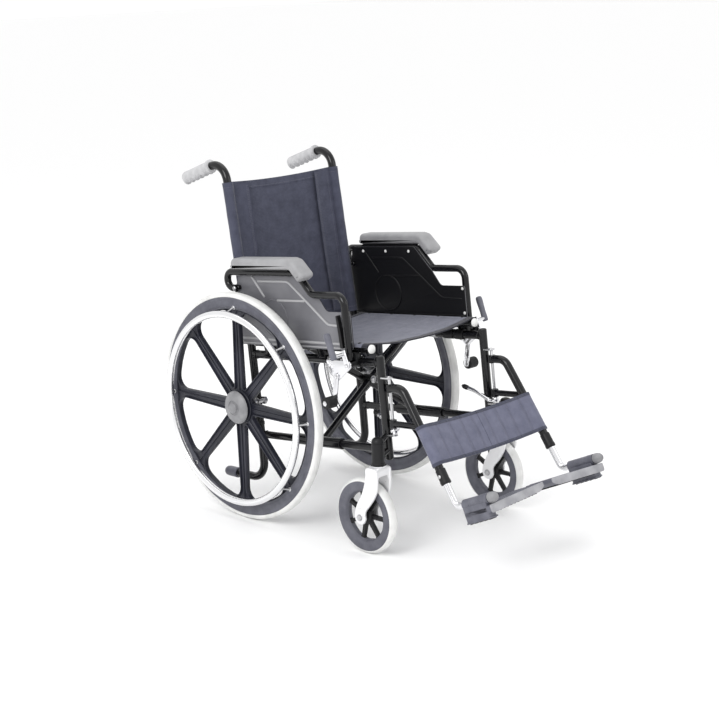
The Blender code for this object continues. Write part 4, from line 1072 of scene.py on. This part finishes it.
# ---------------------------------------------------------------- armrest
def armrest(name, side):
    x = side * ARM_X
    body = "armrest_" + name
    loop_y, loop_r = 0.016, (ARM_Z - ARM_PIVOT[1]) / 2
    corners = [fr(x, *ARM_PIVOT), fr(x, loop_y + loop_r, ARM_PIVOT[1]), fr(x, loop_y + loop_r, ARM_Z),
               fr(x, -0.236, ARM_Z), fr(x, -0.284, 0.298), fr(x, ARM_POST_Y, 0.298),
               fr(x, ARM_POST_Y, 0.1365)]
    tube = part(name, "arm_tube", "frame", body, "armrest_frame", "frame")
    tube.tube(dense(rounded(corners, [loop_r * 0.98, loop_r * 0.98, 0.022, 0.022, 0.026], 12), 0.02), ARM_R,
              26)
    tube.tube([fr(side * (FRAME_X + TUBE_R + 0.0008), *ARM_PIVOT), fr(x, *ARM_PIVOT)], 0.0060, 18)
    tube.finish()
    knob = part(name, "arm_pivot", "steel", body, "armrest_frame", "steel")
    screw(knob, fr(x + side * 0.0090, *ARM_PIVOT), (side, 0, 0), 0.0060, 0.0030)
    knob.finish()

    pad_line = loop(ahead([(-0.0165, 0.3640), (-0.2420, 0.3640), (-0.2705, 0.3325), (-0.2955, 0.3475),
                           (-0.2560, 0.3880), (-0.2400, 0.3925), (-0.0220, 0.3925)]),
                    [0.004, 0.010, 0.0085, 0.009, 0.018, 0.018, 0.014], 8)
    pad = part(name, "arm_pad", "pad", body, "armrest_pad", "pad", sharp=60)
    pad.slab([pad_line], -0.0238, 0.0238, side_view(side * PAD_X), 0.0105, 7)
    made = pad.finish()
    base = part(name, "arm_pad_base", "black", body, "armrest_pad", "dark_plastic")
    base.slab([loop(ahead([(-0.030, 0.3605), (-0.232, 0.3605), (-0.240, 0.3675), (-0.022, 0.3675)]), 0.002,
                    3)], -0.0165, 0.0165, side_view(side * PAD_X), 0.001, 1)
    base.finish()

    guard_line = loop(ahead([(0.026, 0.158), (0.026, 0.300), (0.010, 0.330), (0.004, 0.3570),
                             (-0.2320, 0.3570), (-0.2820, 0.3020), (-0.2890, 0.2955), (-0.3190, 0.2540),
                             (-0.4030, 0.2540), (-0.4030, 0.158)]),
                      [0.010, 0.010, 0.010, 0.008, 0.014, 0.006, 0.006, 0.016, 0.006, 0.012], 6)
    hole = circle((-ARM_PIVOT[0], ARM_PIVOT[1]), 0.0066, 24)
    outer = part(name, "guard_outer", "guard_grey", body, "skirt_guard", "grey_plastic", sharp=40)
    inner = part(name, "guard_inner", "guard_black", body, "skirt_guard", "dark_plastic", sharp=40)
    outer.slab([guard_line, hole], -0.0010, 0.0010, side_view(side * 0.2116), 0.0006, 2)
    inner.slab([guard_line, hole], -0.0010, 0.0010, side_view(side * 0.2095), 0.0006, 2)
    ribs = [[(-0.070, 0.327), (-0.186, 0.328), (-0.260, 0.270), (-0.321, 0.221), (-0.392, 0.219)],
            [(-0.139, 0.278), (-0.190, 0.2785), (-0.242, 0.279)], [(-0.048, 0.340), (-0.091, 0.286)],
            [(0.020, 0.176), (-0.200, 0.174), (-0.396, 0.174)]]
    # The outer ribs are coloured lighter than the guard around them: painted highlight along the raised ribs.
    raised = part(name, "guard_ribs_painted_highlight", "guard_rib", body, "skirt_guard", "grey_plastic", sharp=60)
    for piece, at, r in ((raised, 0.2124, 0.0034), (inner, 0.2087, 0.0022)):
        for rib in ribs:
            path = [fr(side * at, a, b) for a, b in rib]
            if len(path) > 2:
                path = rounded(path, [0.030] * (len(path) - 2), 8)
            piece.tube(dense(path, 0.02), r, 14, 0.0006)
        low = r if piece is inner else 0.0020
        ring = [(0.0490 + low * math.cos(t), low * math.sin(t)) for t in turns(14)]
        (inner if piece is inner else outer).lathe(ring + ring[:1], fr(side * at, -0.121, 0.230),
                                                   (side, 0, 0), 72)
        inset = [fr(side * at, y, z) for y, z in ((0.021, 0.290), (0.021, 0.163), (-0.398, 0.163))]
        piece.tube(dense(rounded(inset, [0.008], 6), 0.02), r * 0.6, 10, 0.0004)
    outer.finish()
    inner.finish()
    raised.finish()
    heads = part(name, "guard_screws", "tyre", body, "skirt_guard", "steel", sharp=50)
    for y, z in ((-0.038, 0.345), (-0.125, 0.345), (-0.212, 0.345), (-0.3964, 0.2465), (-0.397, 0.1815),
                 (0.016, 0.1665)):
        screw(heads, fr(side * 0.2126, y, z), (side, 0, 0), 0.0042, 0.0020)
        screw(heads, fr(side * 0.2085, y, z), (-side, 0, 0), 0.0042, 0.0016)
    heads.finish()

    latch = part(name, "arm_latch", "black", "armrest_latch_" + name, "armrest_latch", "dark_plastic")
    latch.slab([loop(ahead([(-0.3830, 0.166), (-0.3720, 0.166), (-0.3700, 0.200), (-0.3660, 0.247),
                            (-0.3720, 0.249), (-0.3790, 0.205)]), [0.002, 0.002, 0.02, 0.0015, 0.0015, 0.02],
                     4)], -0.006, 0.006, side_view(x), 0.0012, 2)
    latch.finish()


# ---------------------------------------------------------------- brake
def brake(name, side):
    bracket = part(name, "brake_base", "chrome", "chair_" + name, "brake_bracket", "steel")
    low, high = sorted((side * (FRAME_X + TUBE_R + 0.0004), side * BRAKE_BASE_X))
    bracket.block((low, -0.372, 0.118), (high, -0.334, 0.138), DATUM, 0.0020, 3)
    line = arc(BRAKE_LEVER_PIVOT, 0.011, 90, 230, 14) + arc(BRAKE_ARM_PIVOT, 0.011, 230, 330, 12)
    line += [(-0.336, 0.110), (-0.334, 0.139)]
    bracket.slab([ahead(line)], -0.0020, 0.0020, side_view(side * BRAKE_BASE_X), 0.0007, 1)
    for pivot in (BRAKE_LEVER_PIVOT, BRAKE_ARM_PIVOT):
        bracket.tube([fr(side * 0.2400, *pivot), fr(side * 0.2482, *pivot)], 0.0030, 16)
        bracket.lathe([(0.0, 0.0020), (0.0030, 0.0018), (0.0048, 0.0008), (0.0050, 0.0), (0.0, 0.0)],
                      fr(side * 0.2479, *pivot), (side, 0, 0), 20)
    screw(bracket, fr(side * 0.2430, -0.343, 0.126), (side, 0, 0), 0.0046)
    bracket.finish()
    clamp = part(name, "brake_clamp", "black", "chair_" + name, "brake_bracket", "dark_plastic")
    clamp_band(clamp, fr(side * FRAME_X, -0.353, UPPER_Z), REARWARD, 0.0132, 0.034)
    clamp.finish()

    grip_low, grip_high = (-0.4010, 0.156), (-0.3840, 0.214)
    lever = part(name, "brake_handle", "chrome", "brake_lever_" + name, "brake_lever", "chrome")
    hole = circle((-BRAKE_LEVER_PIVOT[0], BRAKE_LEVER_PIVOT[1]), 0.0033, 16)
    line = arc(BRAKE_LEVER_PIVOT, 0.0085, 160, 340, 16) + [(-0.3935, 0.164), (-0.4050, 0.167)]
    lever.slab([ahead(line), hole], -0.0019, 0.0019, side_view(side * BRAKE_LINK_X), 0.0006, 1)
    lever.tube([fr(side * 0.2445, *grip_low), fr(side * 0.2810, *grip_low)], 0.0050, 20)
    lever.finish()
    grip = part(name, "brake_grip", "plate_dark", "brake_lever_" + name, "brake_lever", "grey_plastic",
                sharp=60)
    foot, top = fr(side * 0.2810, grip_low[0] - 0.002, grip_low[1] - 0.008), fr(side * 0.2810, *grip_high)
    span = (top - foot).length
    grip.lathe([(0.0, 0.0), (0.0056, 0.0), (0.0072, 0.0012), (0.0080, 0.0040), (0.0082, 0.0150),
                (0.0076, 0.0260), (0.0082, 0.0400), (0.0089, span - 0.0140), (0.0088, span - 0.0070),
                (0.0076, span - 0.0025), (0.0050, span - 0.0004), (0.0, span + 0.0002)], foot, top - foot, 32)
    grip.finish()

    arm = part(name, "brake_link", "chrome", "brake_arm_" + name, "brake_arm", "chrome")
    hole = circle((-BRAKE_ARM_PIVOT[0], BRAKE_ARM_PIVOT[1]), 0.0033, 16)
    line = arc(BRAKE_ARM_PIVOT, 0.0085, 10, 190, 16) + arc(BRAKE_SHOE, 0.0085, 190, 370, 16)
    arm.slab([ahead(line), hole], -0.0019, 0.0019, side_view(side * BRAKE_LINK_X), 0.0006, 1)
    arm.tube([fr(side * 0.2445, *BRAKE_SHOE), fr(side * 0.2800, *BRAKE_SHOE)], 0.0050, 18)
    nut(arm, fr(side * 0.2792, *BRAKE_SHOE), (side, 0, 0), 0.0070, 0.0028)
    arm.finish()
    shoe = part(name, "brake_roller", "black", "brake_arm_" + name, "brake_shoe", "grey_plastic", sharp=50)
    line = [(0.0052, 0.0), (0.0132, 0.0), (0.0145, 0.0008), (0.0150, 0.0024)]
    for k in range(5):
        z = 0.0045 + 0.0048 * k
        line += [(0.0150, z), (0.0143, z + 0.0008), (0.0143, z + 0.0016), (0.0150, z + 0.0024)]
    line += [(0.0150, 0.0285), (0.0142, 0.0304), (0.0125, 0.0310), (0.0052, 0.0310), (0.0052, 0.0)]
    shoe.lathe(line, fr(side * 0.2480, *BRAKE_SHOE), (side, 0, 0), 40)
    shoe.finish()


# ---------------------------------------------------------------- footrest
def footrest(name, side):
    x = side * FRAME_X
    body = "hanger_" + name
    hanger = part(name, "hanger_tube", "frame", body, "hanger", "frame")
    corners = [fr(x, PIN_Y - 0.004, HANGER_TOP), fr(x, HANGER_ELBOW[0] + 0.006, HANGER_TOP),
               hanger_point(side, HANGER_END)]
    hanger.tube(dense(rounded(corners, [0.030], 14), 0.02), 0.0108, 28)
    hanger.tube([fr(x, PIN_Y - 0.004, HANGER_LOW), hanger_point(side, 0.098)], 0.0080, 22)
    for z in (HANGER_TOP, HANGER_LOW):
        hanger.lathe(mirrored([(0.0044, -0.0105), (0.0088, -0.0105), (0.0096, -0.0096)]), fr(x, PIN_Y, z), UP,
                     32)
    hanger.finish()
    way = (hanger_point(side, HANGER_END) - hanger_point(side, 0.1)).normalized()
    sleeve = part(name, "hanger_collar", "black", body, "hanger", "dark_plastic", sharp=40)
    sleeve.lathe([(0.0093, -0.0320), (0.0120, -0.0320), (0.0126, -0.0310), (0.0126, -0.0040),
                  (0.0132, -0.0030), (0.0132, 0.0040), (0.0122, 0.0058), (0.0093, 0.0058), (0.0093, -0.0320)],
                 hanger_point(side, HANGER_END), way, 36)
    sleeve.finish()
    heads = part(name, "hanger_screws", "steel", body, "hanger", "steel")
    screw(heads, hanger_point(side, HANGER_END - 0.016, 0.0, side * 0.0124), (side, 0, 0), 0.0046)
    for s in (0.102, 0.194):
        screw(heads, hanger_point(side, s, -0.0108), hanger_point(side, s, -1) - hanger_point(side, s, 0),
              0.0040)
    heads.finish()

    latch = part(name, "hanger_catch", "chrome", "hanger_latch_" + name, "hanger_latch", "steel", sharp=45)
    latch.lathe(mirrored([(0.0044, -0.006), (0.0084, -0.006), (0.0090, -0.0052)]), fr(x, PIN_Y, LATCH_Z), UP,
                28)
    in_x = side * 0.1715
    strip = rounded([fr(x, PIN_Y, LATCH_Z), fr(in_x, PIN_Y + 0.003, -0.0400), fr(in_x, -0.4450, -0.0180),
                     fr(in_x - side * 0.006, -0.4080, -0.0050)], [0.006, 0.030], 6)
    count = len(strip)
    latch.tube(strip, [0.0050 + 0.0004 * k / count for k in range(count)], 14)
    latch.finish()
    tip = part(name, "hanger_catch_tip", "black", "hanger_latch_" + name, "hanger_latch", "dark_plastic",
                sharp=60)
    a, b = fr(in_x - side * 0.0035, -0.4250, -0.0108), fr(in_x - side * 0.0064, -0.4055, -0.0042)
    tip.tube([a, a.lerp(b, 0.3), a.lerp(b, 0.8), b], [0.0052, 0.0066, 0.0062, 0.0040], 18, 0.0012)
    tip.finish()

    foot = foot_matrix(side)
    body = "extension_" + name
    ext = part(name, "foot_stem", "chrome", body, "extension_tube", "chrome")
    corners = [hanger_point(side, 0.140), foot @ Vector((0, 0, 0)), foot @ Vector((0, 0.130, 0))]
    ext.tube(dense(rounded(corners, [0.018], 14), 0.02), 0.0085, 28)
    ext.finish()
    cap = part(name, "foot_stem_cap", "light_grey", body, "extension_tube", "grey_plastic", sharp=45)
    along = foot.to_3x3() @ Vector((0, 1, 0))
    cap.lathe([(0.0, 0.0085), (0.0050, 0.0082), (0.0082, 0.0064), (0.0112, 0.0020), (0.0130, -0.0050),
               (0.0134, -0.0100), (0.0130, -0.0135), (0.0086, -0.0140), (0.0086, -0.0010), (0.0, -0.0010)],
              foot @ Vector((0, 0.1280, 0)), along, 36)
    cap.finish()

    collar = part(name, "foot_collar", "plate_dark", "footplate_collar_" + name, "footplate_collar",
                  "dark_plastic", sharp=40)
    line = [(0.0089, 0.0), (0.0124, 0.0), (0.0132, 0.0010)]
    for k in range(7):
        z = 0.0035 + 0.0044 * k
        line += [(0.0132, z), (0.0126, z + 0.0007), (0.0126, z + 0.0015), (0.0132, z + 0.0022)]
    line += [(0.0132, 0.0350), (0.0124, 0.0360), (0.0089, 0.0360), (0.0089, 0.0)]
    collar.lathe(line, foot @ Vector((0, 0.0520, 0)), along, 36)
    collar.finish()

    inward = 1 if (foot.to_3x3() @ Vector((1, 0, 0))).x * side < 0 else -1
    body = "footplate_" + name
    near, far = -0.0135 * inward, 0.182 * inward
    low, high = -0.0155, -0.0080
    end_on = foot @ Matrix.Rotation(math.radians(90), 4, "X")
    plate = part(name, "foot_plate", "plate_dark", body, "footplate", "grey_plastic")
    section = [(near, low), (far, high), (far, high - 0.0085), (far - 0.018 * inward, high - 0.0180),
               (near, low - 0.0195)]
    plate.slab([loop(section, [0.004, 0.002, 0.004, 0.012, 0.006], 4)], -0.1185, -0.029, end_on, 0.0012, 2)
    sides = sorted((near, 0.013 * inward))
    plate.block((sides[0], 0.028, -0.0455), (sides[1], 0.106, -0.0040), foot, 0.0035, 3)
    lip = sorted((near - 0.0005 * inward, 0.0145 * inward))
    plate.block((lip[0], 0.0268, -0.0465), (lip[1], 0.1080, -0.0425), foot, 0.0016, 2)
    for a, b in ((0.028, 0.0514), (0.0886, 0.112)):
        plate.lathe([(0.0092, 0.0), (0.0126, 0.0), (0.0134, 0.0010), (0.0134, b - a - 0.0010),
                     (0.0126, b - a), (0.0092, b - a), (0.0092, 0.0)], foot @ Vector((0, a, 0)), along, 36)
    slope = (high - low) / (far - near)
    for k in range(9):
        p = 0.0370 + 0.0093 * k
        a, b = sorted((near + 0.034 * inward, far - 0.008 * inward))
        tilt = Matrix.Translation((0, 0, low + slope * (a - near))) @ Matrix.Rotation(-math.atan(slope), 4,
                                                                                      "Y")
        plate.block((0, p - 0.0014, -0.0006), (b - a, p + 0.0014, 0.0010),
                    foot @ Matrix.Translation((a, 0, 0)) @ tilt, 0.0005, 1)
    plate.finish()
    edge = part(name, "foot_plate_edge", "plate", body, "footplate", "grey_plastic")
    section = [(near - 0.0004 * inward, low + 0.0008), (far + 0.0004 * inward, high + 0.0008),
               (far + 0.0004 * inward, high - 0.0100), (far - 0.018 * inward, high - 0.0195),
               (near, low - 0.0200)]
    edge.slab([loop(section, [0.004, 0.002, 0.004, 0.012, 0.006], 4)], -0.1212, -0.1165, end_on, 0.0014, 2)
    edge.finish()
    under = part(name, "foot_plate_ribs", "black", body, "footplate", "dark_plastic")
    for k in range(11):
        a = inward * (0.020 + 0.0132 * k)
        top = low + slope * (a - near) - 0.010
        floor_z = top - 0.0108
        b = sorted((a, a + 0.0022 * inward))
        under.block((b[0], 0.034, floor_z), (b[1], 0.1165, top), foot, 0.0004, 1)
    for k in range(5):
        p = 0.036 + 0.016 * k
        b = sorted((-0.0125 * inward, 0.0115 * inward))
        under.block((b[0], p, -0.0485), (b[1], p + 0.004, -0.0440), foot, 0.0006, 1)
    under.finish()


def calf_strap(name, side):
    """Half of the heel strap: a doubled band from the middle to its loop round the hanger."""
    s0, s1 = 0.097, 0.200
    face = DATUM.to_3x3() @ Vector((0, -math.sin(HANGER_SLOPE), math.cos(HANGER_SLOPE)))
    middle = (s0 + s1) / 2

    def point(u, s, lift=0.0):
        """u from 0 at the middle to 1 over the tube, then round it."""
        centre = hanger_point(side, s)
        if u <= 1:
            x = side * (0.0008 + u * (FRAME_X - 0.002))
            sag = 0.008 * (1 - u * u)
            sewn = sum(0.0013 * math.exp(-((u - seam) / 0.012) ** 2) for seam in (0.115, 0.34, 0.56, 0.815))
            sag -= 0.0016 * math.sin(math.pi * (s - s0) / (s1 - s0)) - sewn
            base = Vector((0, centre.y, centre.z)) + face * (0.0122 + lift - sag)
            drop = -UP * (0.004 * (1 - u * u))
            ripple = face * (0.0009 * noise.noise(Vector((u * 6, s * 30, 2))))
            return Vector((x, base.y, base.z)) + Vector((0, drop.y, drop.z)) + ripple
        turn = math.radians(95 - (u - 1) * 300)
        r = 0.0126 + lift
        return centre + Vector((side * r * math.cos(turn), 0, 0)) + face * (r * math.sin(turn))

    flat_us = spread(0, 1, 60)
    loop_us = [1 + 0.05 * k for k in range(14)]
    ss = spread(s0, s1, 20)
    body, nodes = "hanger_" + name, ["calf_strap_" + name]
    anchor = (point(1, middle).x, 0, 0)

    def narrowing(obj):
        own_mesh(obj)
        return obj

    band = shell_of("heel_band_" + name, "nylon_light", grid(point, flat_us, ss), 0.0020, body, nodes)
    narrowing(band)
    extra = [shell_of("heel_loop_" + name, "nylon_light", grid(point, loop_us, ss), 0.0020, body, nodes)]
    for k, (a, b) in enumerate(hem_spans((s0, s1), 0.007, 0.001)):
        ends = spread(a, b, 4)
        hem = shell_of("heel_binding_%s_%d" % (name, k), "nylon_back", grid(point, flat_us, ends), 0.0034,
                       body, nodes)
        extra.append(narrowing(hem))
        extra.append(shell_of("heel_loop_binding_%s_%d" % (name, k), "nylon_back", grid(point, loop_us, ends),
                              0.0034, body, nodes))
    thread = Piece("heel_thread_" + name, "thread", body, nodes, "nylon", sharp=60)
    for u in (0.100, 0.130, 0.325, 0.355, 0.545, 0.575, 0.80, 0.83):
        stitch_row(thread, [point(u, s, 0.0012) for s in ss[1:-1]])
    for s in (s0 + 0.0045, s1 - 0.0045):
        stitch_row(thread, [point(u, s, 0.0020) for u in flat_us])
    extra.append(narrowing(thread.finish()))


for side_name, sign in SIDES.items():
    side_frame(side_name, sign)
    back_cane(side_name, sign)
    rear_wheel(side_name, sign)
    caster(side_name, sign)
    armrest(side_name, sign)
    brake(side_name, sign)
    footrest(side_name, sign)
    calf_strap(side_name, sign)
brace("a", 1, BRACE_Y[0])
brace("b", -1, BRACE_Y[1])
centre_bolt()
seat()
back()

# ---------------------------------------------------------------- floor, light and camera
ground = bpy.data.meshes.new("floor")
ground.from_pydata([(-40, -40, 0), (40, -40, 0), (40, 40, 0), (-40, 40, 0)], [], [(0, 1, 2, 3)])
floor = bpy.data.objects.new("floor", ground)
bpy.context.scene.collection.objects.link(floor)
floor.location.z = -0.0005
M["floor"] = mat("floor_pale", (0.95, 0.95, 0.95), 0.9, spec=0.1)
ground.materials.append(M["floor"])

world = bpy.data.worlds.new("studio")
bpy.context.scene.world = world
world.use_nodes = True
world.node_tree.nodes["Background"].inputs["Color"].default_value = (1, 1, 1, 1)
world.node_tree.nodes["Background"].inputs["Strength"].default_value = 1.04


def area_light(name, at, towards, size, power):
    light = bpy.data.lights.new(name, "AREA")
    light.shape = "RECTANGLE"
    light.size, light.size_y = size
    light.energy = power
    obj = bpy.data.objects.new(name, light)
    bpy.context.scene.collection.objects.link(obj)
    obj.location = at
    obj.rotation_euler = (Vector(towards) - Vector(at)).to_track_quat("-Z", "Y").to_euler()


area_light("key", (-3.2, -0.8, 2.6), (0, 0, 0.4), (1.8, 1.8), 62)
area_light("fill", (1.4, -3.6, 2.2), (0, 0, 0.4), (2.4, 1.6), 16)
area_light("top", (0.3, 0.6, 3.4), (0, 0, 0.3), (2.4, 2.4), 16)

camera_at = (-3.01490, -2.99914, 1.44445)
yaw, pitch, roll = -0.771954, 0.232073, -0.033568
forward = Vector((-math.sin(yaw) * math.cos(pitch), math.cos(yaw) * math.cos(pitch), -math.sin(pitch)))
flat_right = Vector((math.cos(yaw), math.sin(yaw), 0))
flat_up = flat_right.cross(forward)
right = flat_right * math.cos(roll) + flat_up * math.sin(roll)
upward = flat_up * math.cos(roll) - flat_right * math.sin(roll)
camera = bpy.data.objects.new("camera", bpy.data.cameras.new("camera"))
bpy.context.scene.collection.objects.link(camera)
view = Matrix((right, upward, -forward)).transposed().to_4x4()
camera.matrix_world = Matrix.Translation(camera_at) @ view
camera.data.sensor_width = 36
camera.data.lens = 83.83
camera.data.shift_x = 0.00864
camera.data.shift_y = -0.00832
bpy.context.scene.camera = camera
bpy.context.scene.view_settings.view_transform = "Standard"
